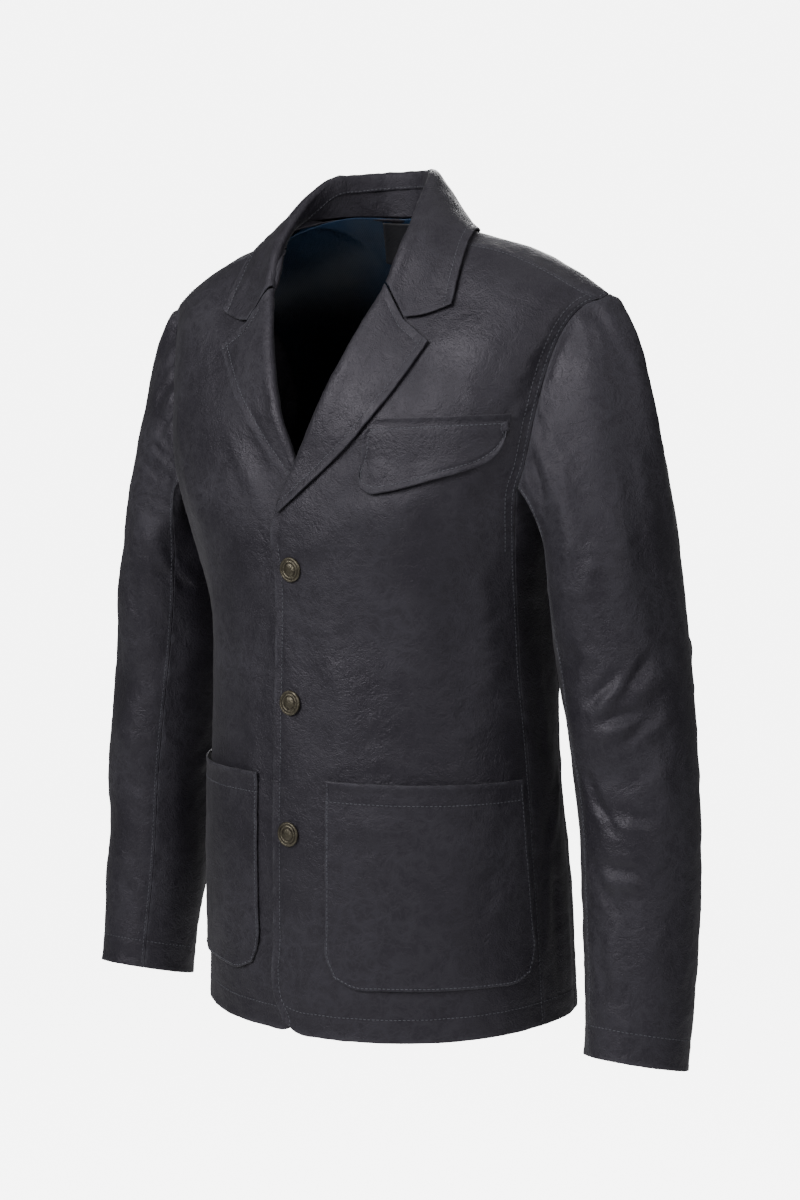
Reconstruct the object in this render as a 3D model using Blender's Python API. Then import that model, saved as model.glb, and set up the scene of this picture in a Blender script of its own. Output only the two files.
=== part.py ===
"""Three-snap blazer in waxed cloth, worn and hollow, built piece by piece as it is cut and sewn.

Frame: metres, +Z up, the front faces -Y and the wearer's left is +X. The origin lies midway
between the two neck points of the shoulder seams, where the garment hangs on its wearer.

Every cloth piece is a thin wall laid on one body form. The form is read by an angle round the
body (0 at the centre front, pi at the centre back) and a level (0 at the underarm, 1 on the
shoulder ridge, below 0 towards the hem), so pieces that meet share the same seam points.
"""
import math
from bisect import bisect_right
from typing import NamedTuple

import bmesh
import bpy
from mathutils import Vector

# ---------------------------------------------------------------- driving sizes
CLOTH = 0.0016             # wall of a single layer
SEAM_GAP = 0.0003          # clear space between two pieces at a seam
HALF_GAP = SEAM_GAP / 2
SEAM_PULL = 0.00042        # each side of a seam is drawn back by this much

UNDERARM_Z = -0.200        # height where the sections end and the shoulder arches begin
LEVEL_HEIGHT = 0.300       # metres of height in one unit of level below the underarm
HEM_Z = -0.684             # lowest point of the front hem
SHOULDER_HALF = 0.236      # half the width of the shoulder ridge
SHOULDER_SEAM_LEVEL = 0.86  # the shoulder seam runs a little in front of the ridge

OVERLAP = 0.018            # each front reaches this far past the centre line
CORNER_RADIUS = 0.034      # rounded lower corner of the front edge
BREAK_Z = -0.252           # where the front edge turns into the roll line
ROLL_TOP = (0.061, -0.062)  # x and z of the upper end of the roll line
NOTCH = (0.0808, -0.0879)    # x and z where the collar and the lapel part
LAPEL_TIP = (0.109, -0.107)
ROLL_SLACK = 0.004         # the roll line bows outwards by this much

ROWS_BELOW = 10            # rows of a body panel from the hem to the underarm
ROLL_ROWS = 7              # rows along the roll line
NECK_ROWS = 2              # rows from the roll line's end to the neck point
ARM_ROWS = ROLL_ROWS + NECK_ROWS
FRONT_COLUMNS = 8
NECK_COLUMNS = 2           # columns of the back under the collar, half a back
SIDE_COLUMNS = 4
SLEEVE_ROWS = 14


# ---------------------------------------------------------------- size tables
class Section(NamedTuple):
    """A level section of the body, from the hem up."""
    z: float
    half_width: float
    centre_y: float
    front_depth: float
    back_depth: float
    front_square: float
    back_square: float


SECTIONS = (
    Section(-0.700, 0.170, 0.043, 0.155, 0.118, 0.03, 0.12),
    Section(-0.600, 0.167, 0.040, 0.152, 0.115, 0.03, 0.12),
    Section(-0.500, 0.163, 0.033, 0.145, 0.109, 0.03, 0.12),
    Section(-0.410, 0.159, 0.031, 0.140, 0.102, 0.04, 0.12),
    Section(-0.320, 0.166, 0.029, 0.135, 0.109, 0.06, 0.14),
    Section(-0.250, 0.186, 0.025, 0.134, 0.122, 0.12, 0.17),
    Section(-0.200, 0.197, 0.020, 0.120, 0.127, 0.18, 0.20),
)


class Ridge(NamedTuple):
    """The shoulder ridge, from the neck out, and how full the arches over it are."""
    x: float
    y: float
    z: float
    front_fullness: float
    back_fullness: float


RIDGES = (
    Ridge(0.000, 0.000, 0.0240, -0.25, 0.06),
    Ridge(0.014, 0.000, 0.0236, -0.25, 0.06),
    Ridge(0.040, 0.000, 0.0150, -0.25, 0.05),
    Ridge(0.068, 0.000, 0.001, -0.26, 0.02),
    Ridge(0.107, 0.005, -0.015, -0.28, 0.00),
    Ridge(0.148, 0.010, -0.026, -0.20, 0.00),
    Ridge(0.186, 0.014, -0.043, -0.05, 0.05),
    Ridge(0.236, 0.017, -0.072, 0.12, 0.10),
)


class ArmPoint(NamedTuple):
    """A point of the armhole seam on the body form, the angle in degrees."""
    step: float
    angle: float
    level: float


ARM_FRONT = (
    ArmPoint(0.00, 64.0, -0.080),
    ArmPoint(0.20, 66.0, 0.040),
    ArmPoint(0.45, 69.8, 0.280),
    ArmPoint(0.70, 72.5, 0.560),
    ArmPoint(0.88, 75.0, 0.780),
    ArmPoint(1.00, 78.0, SHOULDER_SEAM_LEVEL),
)
ARM_BOTTOM = (
    ArmPoint(0.00, 64.0, -0.080),
    ArmPoint(0.50, 90.0, -0.150),
    ArmPoint(1.00, 115.0, -0.080),
)
ARM_BACK = (
    ArmPoint(0.00, 115.0, -0.080),
    ArmPoint(0.20, 119.0, 0.060),
    ArmPoint(0.45, 120.0, 0.320),
    ArmPoint(0.70, 116.0, 0.650),
    ArmPoint(0.88, 108.0, 0.950),
    ArmPoint(1.00, 102.0, 2.0 - SHOULDER_SEAM_LEVEL),
)


class SeamPoint(NamedTuple):
    """Where the two seams of the side panel run, angles in degrees."""
    z: float
    front_angle: float
    back_angle: float


SIDE_SEAMS = (
    SeamPoint(-0.700, 83.5, 106.0),
    SeamPoint(-0.600, 82.5, 107.0),
    SeamPoint(-0.450, 81.5, 109.0),
    SeamPoint(-0.397, 79.0, 110.5),
    SeamPoint(-0.320, 74.0, 113.0),
    SeamPoint(-0.275, 68.5, 114.5),
    SeamPoint(-0.224, 64.0, 115.0),
)


class SleeveRing(NamedTuple):
    """A level ring of the sleeve, from the cuff up."""
    z: float
    x: float
    y: float
    outer_half: float
    inner_half: float
    half_deep: float
    back_drop: float


SLEEVE_RINGS = (
    SleeveRing(-0.692, 0.2650, 0.008, 0.0424, 0.0424, 0.0445, 0.27),
    SleeveRing(-0.650, 0.2645, 0.013, 0.0437, 0.0437, 0.0459, 0.14),
    SleeveRing(-0.580, 0.2611, 0.021, 0.0475, 0.0475, 0.0508, 0.08),
    SleeveRing(-0.500, 0.2575, 0.024, 0.0491, 0.0491, 0.0525, 0.05),
    SleeveRing(-0.420, 0.2474, 0.026, 0.0522, 0.0522, 0.0574, 0.02),
    SleeveRing(-0.345, 0.2337, 0.028, 0.0555, 0.0510, 0.0650, 0.00),
    SleeveRing(-0.282, 0.2230, 0.028, 0.0560, 0.0430, 0.0700, 0.00),
)


class CollarStation(NamedTuple):
    """Half of the collar, from the centre back to the gorge."""
    turn: float
    seam_x: float
    seam_y: float
    fold_x: float
    fold_y: float
    fold_z: float
    edge_x: float
    edge_y: float


COLLAR = (
    CollarStation(0.00, 0.000, 0.066, 0.000, 0.064, 0.041, 0.000, 0.086),
    CollarStation(0.05, 0.0075, 0.0658, 0.009, 0.0638, 0.0409, 0.014, 0.0856),
    CollarStation(0.18, 0.026, 0.058, 0.030, 0.051, 0.039, 0.046, 0.074),
    CollarStation(0.36, 0.049, 0.034, 0.053, 0.020, 0.033, 0.090, 0.036),
    CollarStation(0.52, 0.065, 0.008, 0.063, -0.007, 0.009, 0.108, 0.004),
    CollarStation(0.70, 0.069, -0.015, 0.066, -0.027, -0.015, 0.1135, -0.018),
    CollarStation(0.86, 0.066, -0.034, 0.065, -0.042, -0.037, 0.117, -0.034),
    CollarStation(1.00, 0.061, -0.052, 0.061, -0.052, -0.062, 0.1195, -0.0465),
)


# ---------------------------------------------------------------- reading the tables
def slope_at(keys, values, i):
    """Slope of a table's curve at one of its rows."""
    low = max(i - 1, 0)
    high = min(i + 1, len(keys) - 1)
    return (values[high] - values[low]) / (keys[high] - keys[low])


def read(table, column, key):
    """Value of a column at a key, on the smooth curve through the table's rows."""
    keys = [row[0] for row in table]
    values = [getattr(row, column) for row in table]
    key = min(max(key, keys[0]), keys[-1])
    i = min(max(bisect_right(keys, key) - 1, 0), len(keys) - 2)
    span = keys[i + 1] - keys[i]
    t = (key - keys[i]) / span
    low_slope = slope_at(keys, values, i) * span
    high_slope = slope_at(keys, values, i + 1) * span
    rise = values[i + 1] - values[i]
    return (values[i] + t * low_slope
            + t * t * (3 * rise - 2 * low_slope - high_slope)
            + t * t * t * (low_slope + high_slope - 2 * rise))


def mix(a, b, t):
    return a + (b - a) * t


def ease(t):
    """Smooth step from 0 to 1."""
    t = min(max(t, 0.0), 1.0)
    return t * t * (3 - 2 * t)


# ---------------------------------------------------------------- the body form
def section_point(angle, z):
    """Point of the level section at height z, on the wearer's left."""
    sine = math.sin(angle)
    cosine = math.cos(angle)
    face = "front" if cosine >= 0 else "back"
    square = read(SECTIONS, face + "_square", z)
    depth = read(SECTIONS, face + "_depth", z)
    x = read(SECTIONS, "half_width", z) * sine * (1 + square * cosine ** 2)
    y = read(SECTIONS, "centre_y", z) - depth * cosine * (1 + square * sine ** 2)
    return Vector((x, y, z))


def arch_point(lateral_angle, turn):
    """Point above the underarm: turn goes 0 at the front, 1 on the ridge, 2 at the back."""
    in_front = turn <= 1
    base = section_point(lateral_angle if in_front else math.pi - lateral_angle, UNDERARM_Z)
    square = SECTIONS[-1].front_square if in_front else SECTIONS[-1].back_square
    outward = math.sin(lateral_angle) * (1 + square * math.cos(lateral_angle) ** 2)
    ridge_x = SHOULDER_HALF * outward
    reach = abs(ridge_x)
    ridge = Vector((ridge_x, read(RIDGES, "y", reach), read(RIDGES, "z", reach)))
    fullness = read(RIDGES, "front_fullness" if in_front else "back_fullness", reach)
    climb = turn * math.pi / 2
    sine = math.sin(climb)
    run = abs(math.cos(climb)) * (1 + fullness * sine ** 2)
    rise = sine * (1 + fullness * math.cos(climb) ** 2)
    return Vector((mix(ridge.x, base.x, run), mix(ridge.y, base.y, run), mix(base.z, ridge.z, rise)))


def form(angle, level):
    """Point of the smooth body form. Past level 1 the back runs over the ridge to the front."""
    if level <= 0:
        return section_point(angle, UNDERARM_Z + level * LEVEL_HEIGHT)
    if angle <= math.pi / 2:
        return arch_point(angle, level)
    return arch_point(math.pi - angle, 2 - level)


def form_normal(angle, level):
    """Outward unit normal of the body form."""
    small = 1e-3
    along = form(angle + small, level) - form(angle - small, level)
    up = form(angle, level + small) - form(angle, level - small)
    return along.cross(up).normalized()


def locate(first_axis, first_value, second_axis, second_value, start):
    """Angle and level of the form where two coordinates have the given values."""
    angle, level = start
    small = 1e-4
    for _ in range(30):
        here = form(angle, level)
        miss = (first_value - here[first_axis], second_value - here[second_axis])
        by_angle = (form(angle + small, level) - here) / small
        by_level = (form(angle, level + small) - here) / small
        determinant = (by_angle[first_axis] * by_level[second_axis]
                       - by_level[first_axis] * by_angle[second_axis])
        angle += (miss[0] * by_level[second_axis] - miss[1] * by_level[first_axis]) / determinant
        level += (by_angle[first_axis] * miss[1] - by_angle[second_axis] * miss[0]) / determinant
    return angle, level


# ---------------------------------------------------------------- folds of the worn cloth
class BodyFold(NamedTuple):
    """A soft fold of the body cloth, from one place on the form to another."""
    side: int              # +1 wearer's left, -1 right, 0 both
    from_angle: float      # degrees
    from_z: float
    to_angle: float
    to_z: float
    width: float
    height: float          # above the smooth form, below it when negative


BODY_FOLDS = (
    BodyFold(+1, 8.0, -0.300, 42.0, -0.205, 0.016, 0.0035),
    BodyFold(-1, 8.0, -0.305, 40.0, -0.225, 0.016, 0.0030),
    BodyFold(+1, 50.0, -0.250, 58.0, -0.400, 0.020, -0.0040),
    BodyFold(-1, 46.0, -0.240, 56.0, -0.380, 0.020, -0.0035),
    BodyFold(0, 92.0, -0.235, 92.0, -0.330, 0.034, -0.0080),
    BodyFold(0, 92.0, -0.420, 100.0, -0.660, 0.022, 0.0040),
    BodyFold(0, 128.0, -0.240, 150.0, -0.400, 0.024, 0.0045),
    BodyFold(0, 150.0, -0.150, 118.0, -0.120, 0.022, -0.0035),
    BodyFold(0, 158.0, -0.430, 120.0, -0.500, 0.024, -0.0035),
    BodyFold(0, 152.0, -0.480, 146.0, -0.680, 0.026, 0.0040),
)


def fold_height(place, start, end, width, height):
    """Height of one straight soft fold at a place; it fades out past both ends."""
    line = end - start
    t = (place - start).dot(line) / line.length_squared
    nearest = start + line * min(max(t, 0.0), 1.0)
    swell = 0.45 + 0.55 * math.sin(math.pi * min(max(t, 0.0), 1.0))
    return height * swell * math.exp(-((place - nearest).length / width) ** 2)


def body_fold_height(side, angle, point):
    """Sum of the body folds at a point of the form."""
    girth = 0.160
    place = Vector((math.degrees(angle) * girth * math.pi / 180, point.z))
    total = 0.0
    for fold in BODY_FOLDS:
        if fold.side in (0, side):
            start = Vector((math.radians(fold.from_angle) * girth, fold.from_z))
            end = Vector((math.radians(fold.to_angle) * girth, fold.to_z))
            total += fold_height(place, start, end, fold.width, fold.height)
    return total


def on_body(side, place, lift=0.0):
    """Point of the worn cloth on one side of the body, lifted off it by a distance."""
    angle, level = place
    point = form(angle, level)
    normal = form_normal(angle, level)
    point += normal * (body_fold_height(side, angle, point) + lift)
    return Vector((side * point.x, point.y, point.z))


def front_place(x, z):
    """Angle and level of the front where x and z are given."""
    return locate(0, x, 2, z, (0.4, 0.2 if z > UNDERARM_Z else (z - UNDERARM_Z) / LEVEL_HEIGHT))


def top_place(x, y):
    """Angle and level near the neck and shoulder where x and y are given."""
    if y < 0:
        return locate(0, x, 1, y, (0.3, 0.8))
    return locate(0, x, 1, y, (math.pi - 0.3, 1.0 - 4 * y))


# ---------------------------------------------------------------- seams shared by the pieces
def between(first, second, t):
    return mix(first[0], second[0], t), mix(first[1], second[1], t)


def level_of(z):
    return (z - UNDERARM_Z) / LEVEL_HEIGHT


def hem_z(angle):
    """Height of the hem round the body; it rises a little towards the side."""
    return HEM_Z + 0.003 * math.sin(angle) ** 2


def arm_place(table, t):
    """Place of the armhole seam along one of its three stretches."""
    return math.radians(read(table, "angle", t)), read(table, "level", t)


def side_seam_place(which, row):
    """Place on a side panel seam; row 0 is at the hem and ROWS_BELOW at the armhole."""
    top_angle, top_level = arm_place(ARM_BOTTOM, 0.0 if which == "front_angle" else 1.0)
    top_z = UNDERARM_Z + top_level * LEVEL_HEIGHT
    hem_angle = math.radians(read(SIDE_SEAMS, which, HEM_Z))
    z = mix(hem_z(hem_angle), top_z, row_share(row))
    if row == ROWS_BELOW:
        return top_angle, top_level
    return math.radians(read(SIDE_SEAMS, which, z)), level_of(z)


def row_share(row):
    """Share of the height at a row; the rows next to the hem are closer together."""
    first_rows = (0.0, 0.022, 0.070)
    if row < len(first_rows):
        return first_rows[row]
    rest = (row - len(first_rows) + 1) / (ROWS_BELOW - len(first_rows) + 1)
    return mix(first_rows[-1], 1.0, rest)


def roll_xz(t):
    """x and z of the roll line, from the break at 0 to the gorge at 1."""
    x = mix(-OVERLAP, ROLL_TOP[0], t) + ROLL_SLACK * math.sin(math.pi * t)
    return x, mix(BREAK_Z, ROLL_TOP[1], t)


def roll_place(t):
    return front_place(*roll_xz(t))


def neck_place(turn):
    """Place of the neck seam, from the centre back at 0 to the gorge at 1."""
    if turn == 1.0:
        return roll_place(1.0)
    x = read(COLLAR, "seam_x", turn)
    y = read(COLLAR, "seam_y", turn)
    if turn == 0.0:
        return math.pi, locate_centre_back(y)
    return top_place(x, y)


def locate_centre_back(y):
    """Level of the centre back line at a given y above the underarm."""
    low, high = 0.0, 1.0
    for _ in range(40):
        middle = (low + high) / 2
        if form(math.pi, middle).y > y:
            low = middle
        else:
            high = middle
    return low


def neck_point_turn():
    """Where along the neck seam the shoulder seam meets it."""
    low, high = 0.0, 1.0
    for _ in range(30):
        middle = (low + high) / 2
        angle, level = neck_place(max(middle, 1e-3))
        turn = level if angle <= math.pi / 2 else 2 - level
        if turn > SHOULDER_SEAM_LEVEL:
            low = middle
        else:
            high = middle
    return low


NECK_POINT_TURN = neck_point_turn()


def as_front(place):
    """The same place read on the front's side of the ridge."""
    angle, level = place
    return (angle, level) if angle <= math.pi / 2 else (math.pi - angle, 2 - level)


def as_back(place):
    """The same place read on the back's side of the ridge."""
    angle, level = place
    return (angle, level) if angle > math.pi / 2 else (math.pi - angle, 2 - level)


# ---------------------------------------------------------------- building solids
def material(name, colour, roughness, metallic=0.0):
    """Principled material, made once."""
    made = bpy.data.materials.get(name)
    if made is None:
        made = bpy.data.materials.new(name)
        made.use_nodes = True
        shader = made.node_tree.nodes["Principled BSDF"]
        shader.inputs["Base Color"].default_value = (*colour, 1.0)
        shader.inputs["Roughness"].default_value = roughness
        shader.inputs["Metallic"].default_value = metallic
    return made


def waxed_cloth():
    return material("waxed_cloth", (0.022, 0.024, 0.028), 0.52)


def lining_satin():
    return material("lining_satin", (0.010, 0.024, 0.055), 0.38)


def label_tape():
    return material("label_tape", (0.012, 0.012, 0.014), 0.55)


def aged_brass():
    return material("aged_brass", (0.190, 0.150, 0.085), 0.42, metallic=0.9)


def add_object(name, mesh, finish):
    """Put a mesh in the scene with faces out and its own material."""
    work = bmesh.new()
    work.from_mesh(mesh)
    bmesh.ops.recalc_face_normals(work, faces=work.faces)
    work.to_mesh(mesh)
    work.free()
    mesh.materials.append(finish)
    thing = bpy.data.objects.new(name, mesh)
    bpy.context.scene.collection.objects.link(thing)
    return thing


def add_wall(name, outer, inner, finish, turned=0):
    """Closed wall between two grids of points of the same size.

    Its cells are cut along one diagonal, and those of the first turned columns along the other.
    """
    rows = len(outer)
    columns = len(outer[0])
    points = [point for grid in (outer, inner) for line in grid for point in line]

    def index(layer, row, column):
        return (layer * rows + row) * columns + column

    faces = []
    for row in range(rows - 1):
        for column in range(columns - 1):
            for layer in (0, 1):
                a = index(layer, row, column)
                b = index(layer, row, column + 1)
                c = index(layer, row + 1, column + 1)
                d = index(layer, row + 1, column)
                if column < turned:
                    a, b, c, d = b, c, d, a
                faces += [(a, b, c), (a, c, d)] if layer == 0 else [(c, b, a), (d, c, a)]
    rim = [(0, column) for column in range(columns - 1)]
    rim += [(row, columns - 1) for row in range(rows - 1)]
    rim += [(rows - 1, column) for column in range(columns - 1, 0, -1)]
    rim += [(row, 0) for row in range(rows - 1, 0, -1)]
    for here, there in zip(rim, rim[1:] + rim[:1]):
        a, b = index(0, *here), index(0, *there)
        c, d = index(1, *there), index(1, *here)
        if points[a].z <= points[b].z:
            faces += [(b, a, c), (c, a, d)]
        else:
            faces += [(b, a, d), (b, d, c)]
    mesh = bpy.data.meshes.new(name)
    mesh.from_pydata(points, [], faces)
    return add_object(name, mesh, finish)


def grid_normals(grid):
    """Unit normals of a grid of points, from its rows and columns."""
    rows, columns = len(grid), len(grid[0])
    normals = []
    for row in range(rows):
        line = []
        for column in range(columns):
            across = grid[row][min(column + 1, columns - 1)] - grid[row][max(column - 1, 0)]
            up = grid[min(row + 1, rows - 1)][column] - grid[max(row - 1, 0)][column]
            line.append(across.cross(up).normalized())
        normals.append(line)
    return normals


def pulled_in(outer, inner, distance, sides="lrbt"):
    """Move the chosen sides of a wall in by a distance, to leave the gap of a seam.

    l and r are the first and last columns, b and t the first and last rows.
    """
    rows, columns = len(outer), len(outer[0])
    moves = {}

    def pull(cell, neighbour):
        here = outer[cell[0]][cell[1]]
        there = outer[neighbour[0]][neighbour[1]]
        moves.setdefault(cell, []).append((there - here).normalized() * distance)

    for row in range(rows):
        if "l" in sides:
            pull((row, 0), (row, 1))
        if "r" in sides:
            pull((row, columns - 1), (row, columns - 2))
    for column in range(columns):
        if "b" in sides:
            pull((0, column), (1, column))
        if "t" in sides:
            pull((rows - 1, column), (rows - 2, column))
    for (row, column), steps in moves.items():
        for step in steps:
            outer[row][column] = outer[row][column] + step
            inner[row][column] = inner[row][column] + step
    return outer, inner


# ---------------------------------------------------------------- armholes
class SleeveFold(NamedTuple):
    """A soft fold of a sleeve; turn is in degrees, 90 outside, 180 in front, 270 inside."""
    side: int
    from_turn: float
    from_z: float
    to_turn: float
    to_z: float
    width: float
    height: float


SLEEVE_FOLDS = (
    SleeveFold(+1, 215.0, -0.365, 120.0, -0.425, 0.014, -0.0045),
    SleeveFold(+1, 235.0, -0.430, 130.0, -0.480, 0.014, -0.0045),
    SleeveFold(+1, 225.0, -0.400, 125.0, -0.452, 0.015, 0.0040),
    SleeveFold(+1, 120.0, -0.520, 205.0, -0.580, 0.018, -0.0035),
    SleeveFold(+1, 190.0, -0.210, 140.0, -0.330, 0.018, 0.0035),
    SleeveFold(-1, 230.0, -0.250, 130.0, -0.330, 0.016, 0.0045),
    SleeveFold(-1, 240.0, -0.360, 140.0, -0.430, 0.015, -0.0045),
    SleeveFold(-1, 225.0, -0.440, 130.0, -0.500, 0.015, 0.0040),
    SleeveFold(-1, 120.0, -0.540, 210.0, -0.600, 0.018, -0.0035),
    SleeveFold(0, 260.0, -0.330, 335.0, -0.390, 0.018, -0.0045),
    SleeveFold(0, 300.0, -0.400, 385.0, -0.440, 0.018, 0.0040),
)

CAP_DIRECTION = Vector((0.80, 0.0, -0.60))   # way the sleeve head leaves the armhole
CAP_FULLNESS = 0.10                          # how much it swells as it leaves
CAP_PULL = (0.030, 0.150)                    # strength of that direction, under the arm and on top
RING_PULL = (0.030, 0.110)                   # strength of the fall into the upper arm
CAP_SHARE = 0.38                             # share of the rows that lie in the sleeve head
FIRST_TURN = 98.0                            # turn of the shoulder seam round the sleeve


def arm_places():
    """Places of the armhole stations: shoulder seam, down the front, under, up the back."""
    places = [arm_place(ARM_FRONT, 1 - i / ARM_ROWS) for i in range(ARM_ROWS)]
    places += [arm_place(ARM_BOTTOM, i / SIDE_COLUMNS) for i in range(SIDE_COLUMNS)]
    places += [arm_place(ARM_BACK, i / ARM_ROWS) for i in range(ARM_ROWS)]
    return places


ARM_PLACES = arm_places()
FRONT_SEAM_STATION = ARM_ROWS
BACK_SEAM_STATION = ARM_ROWS + SIDE_COLUMNS + 3


def mirrored(point, side):
    return Vector((side * point.x, point.y, point.z))


def armhole(side):
    """Seam points of one armhole."""
    return [on_body(side, place) for place in ARM_PLACES]


def station_turns(points):
    """Turn of each station round the sleeve, in proportion to its length along the seam."""
    lengths = [(points[(i + 1) % len(points)] - points[i]).length for i in range(len(points))]
    total = sum(lengths)
    turns = []
    gone = 0.0
    for length in lengths:
        turns.append(math.radians(FIRST_TURN) + 2 * math.pi * gone / total)
        gone += length
    return turns


def ring_point(turn, z):
    """Point of the sleeve below its head, on the wearer's left."""
    deep = read(SLEEVE_RINGS, "half_deep", z)
    back = deep * math.cos(turn)
    across = read(SLEEVE_RINGS, "outer_half" if math.sin(turn) >= 0 else "inner_half", z)
    return Vector((read(SLEEVE_RINGS, "x", z) + across * math.sin(turn),
                   read(SLEEVE_RINGS, "y", z) + back,
                   z - read(SLEEVE_RINGS, "back_drop", z) * back))


def sleeve_fold_height(side, turn, z):
    """Sum of the sleeve folds at a turn and a height."""
    radius = 0.055
    total = 0.0
    for fold in SLEEVE_FOLDS:
        if fold.side in (0, side):
            start = Vector((math.radians(fold.from_turn) * radius, fold.from_z))
            end = Vector((math.radians(fold.to_turn) * radius, fold.to_z))
            for whole_turn in (0.0, 2 * math.pi):
                place = Vector(((turn + whole_turn) * radius, z))
                total += fold_height(place, start, end, fold.width, fold.height)
    return total


def sleeve_grid(side):
    """Rings of one sleeve from the armhole to the cuff, each closed round the arm."""
    seam = [mirrored(point, side) for point in armhole(side)]
    centre = sum(seam, Vector()) / len(seam)
    turns = station_turns(seam)
    cap_rows = round(SLEEVE_ROWS * CAP_SHARE)
    upper_z = SLEEVE_RINGS[-1].z
    cuff_z = SLEEVE_RINGS[0].z
    rings = []
    for row in range(SLEEVE_ROWS + 1):
        ring = []
        for point, turn in zip(seam, turns):
            if row < cap_rows:
                height = (1 + math.sin(turn)) / 2
                leave = (CAP_DIRECTION + (point - centre).normalized() * CAP_FULLNESS).normalized()
                fall = Vector((0.0, 0.0, -1.0)) * mix(*RING_PULL, height)
                here = hermite(point, leave * mix(*CAP_PULL, height),
                               ring_point(turn, upper_z), fall, row / cap_rows)
            else:
                here = ring_point(turn, mix(upper_z, cuff_z, (row - cap_rows) / (SLEEVE_ROWS - cap_rows)))
            if row > 0:
                outward = Vector((math.sin(turn), math.cos(turn), 0.0))
                here += outward * sleeve_fold_height(side, turn, here.z)
            ring.append(mirrored(here, side))
        rings.append(ring)
    return rings


def hermite(start, start_pull, end, end_pull, t):
    """Point of the curve that leaves start and reaches end with the given pulls."""
    return (start * (2 * t ** 3 - 3 * t ** 2 + 1) + start_pull * (t ** 3 - 2 * t ** 2 + t)
            + end * (3 * t ** 2 - 2 * t ** 3) + end_pull * (t ** 3 - t ** 2))


def armhole_mitres(side, rings):
    """Vector from the outer to the inner edge of the wall at each armhole station."""
    count = len(ARM_PLACES)
    mitres = []
    for i, place in enumerate(ARM_PLACES):
        body_normal = mirrored(form_normal(*place), side)
        along = rings[0][(i + 1) % count] - rings[0][i - 1]
        sleeve_normal = along.cross(rings[1][i] - rings[0][i]).normalized() * side
        middle = (body_normal + sleeve_normal).normalized()
        mitres.append(middle * -CLOTH / max(middle.dot(body_normal), 0.75))
    return mitres


RINGS = {side: sleeve_grid(side) for side in (1, -1)}
MITRES = {side: armhole_mitres(side, RINGS[side]) for side in (1, -1)}


def sleeve_piece(name, side, first, last):
    """Part of a sleeve between two stations, which run on past the last one."""
    stations = [i % len(ARM_PLACES) for i in range(first, last + 1)]
    closed = [ring + ring[:1] for ring in RINGS[side]]
    full_normals = ring_normals(RINGS[side], side)
    outer = [[ring[i].copy() for i in stations] for ring in closed]
    inner = []
    for row, ring in enumerate(closed):
        if row == 0:
            inner.append([ring[i] + MITRES[side][i] for i in stations])
        else:
            inner.append([ring[i] - full_normals[row][i] * CLOTH for i in stations])
    outer, inner = pulled_in(outer, inner, SEAM_PULL, "lrb")
    return add_wall(name, outer, inner, waxed_cloth())


def ring_normals(rings, side):
    """Outward normals of closed rings."""
    count = len(rings[0])
    normals = []
    for row, ring in enumerate(rings):
        upper = rings[max(row - 1, 0)]
        lower = rings[min(row + 1, len(rings) - 1)]
        normals.append([(ring[(i + 1) % count] - ring[i - 1]).cross(lower[i] - upper[i]).normalized() * side
                        for i in range(count)])
    return normals


# ---------------------------------------------------------------- body panels
FRONT_SHARES = (0.0, 0.055, 0.15, 0.29, 0.43, 0.57, 0.72, 0.86, 1.0)
TUCK = CLOTH + 6 * SEAM_GAP          # the right front lies this far under the left one
TUCK_START = 0.030                   # the tuck starts to fade this far out from the centre
TUCK_FADE = 0.045                    # and is gone this much further out
BREAK_TUCK = 0.0050                  # and this much more where its lapel begins under the left one
BREAK_TUCK_X = -0.005                # middle of that deeper place
BREAK_TUCK_Z = BREAK_Z + 0.020
BREAK_TUCK_WIDE = 0.030              # half its width and half its height
BREAK_TUCK_TALL = 0.040


def right_tuck(x, z):
    """How far the right front is pushed in at x, measured towards its own side."""
    under = 1 - ease((x - TUCK_START) / TUCK_FADE)
    across = (x - BREAK_TUCK_X) / BREAK_TUCK_WIDE
    up = (z - BREAK_TUCK_Z) / BREAK_TUCK_TALL
    return TUCK * under + BREAK_TUCK * math.exp(-up ** 2 - across ** 2)


def front_edge_place(row):
    """Place on the front edge below the break; the lower corner is rounded."""
    z = mix(HEM_Z, BREAK_Z, row_share(row))
    arc_z = HEM_Z + CORNER_RADIUS
    x = -OVERLAP
    if row == 0:
        z = arc_z - CORNER_RADIUS * math.sin(math.pi / 4)
    if z < arc_z:
        x += CORNER_RADIUS - math.sqrt(CORNER_RADIUS ** 2 - (arc_z - z) ** 2)
    return front_place(x, z)


def front_hem_place(angle):
    """Place on the hem of a front, which curves up into the front edge."""
    z = hem_z(angle)
    x = section_point(angle, z).x
    arc_x = CORNER_RADIUS - OVERLAP
    if x < arc_x:
        z += CORNER_RADIUS - math.sqrt(max(CORNER_RADIUS ** 2 - (arc_x - x) ** 2, 0.0))
    return angle, level_of(z)


def coons(bottom, top, left, right):
    """Grid that fills four edges given as lists of pairs; left and right run upwards."""
    rows, columns = len(left), len(bottom)
    grid = []
    for i in range(rows):
        v = i / (rows - 1)
        line = []
        for j in range(columns):
            u = j / (columns - 1)
            line.append(tuple(
                mix(bottom[j][k], top[j][k], v) + mix(left[i][k], right[i][k], u)
                - mix(mix(bottom[0][k], bottom[-1][k], u), mix(top[0][k], top[-1][k], u), v)
                for k in (0, 1)))
        grid.append(line)
    return grid


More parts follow.
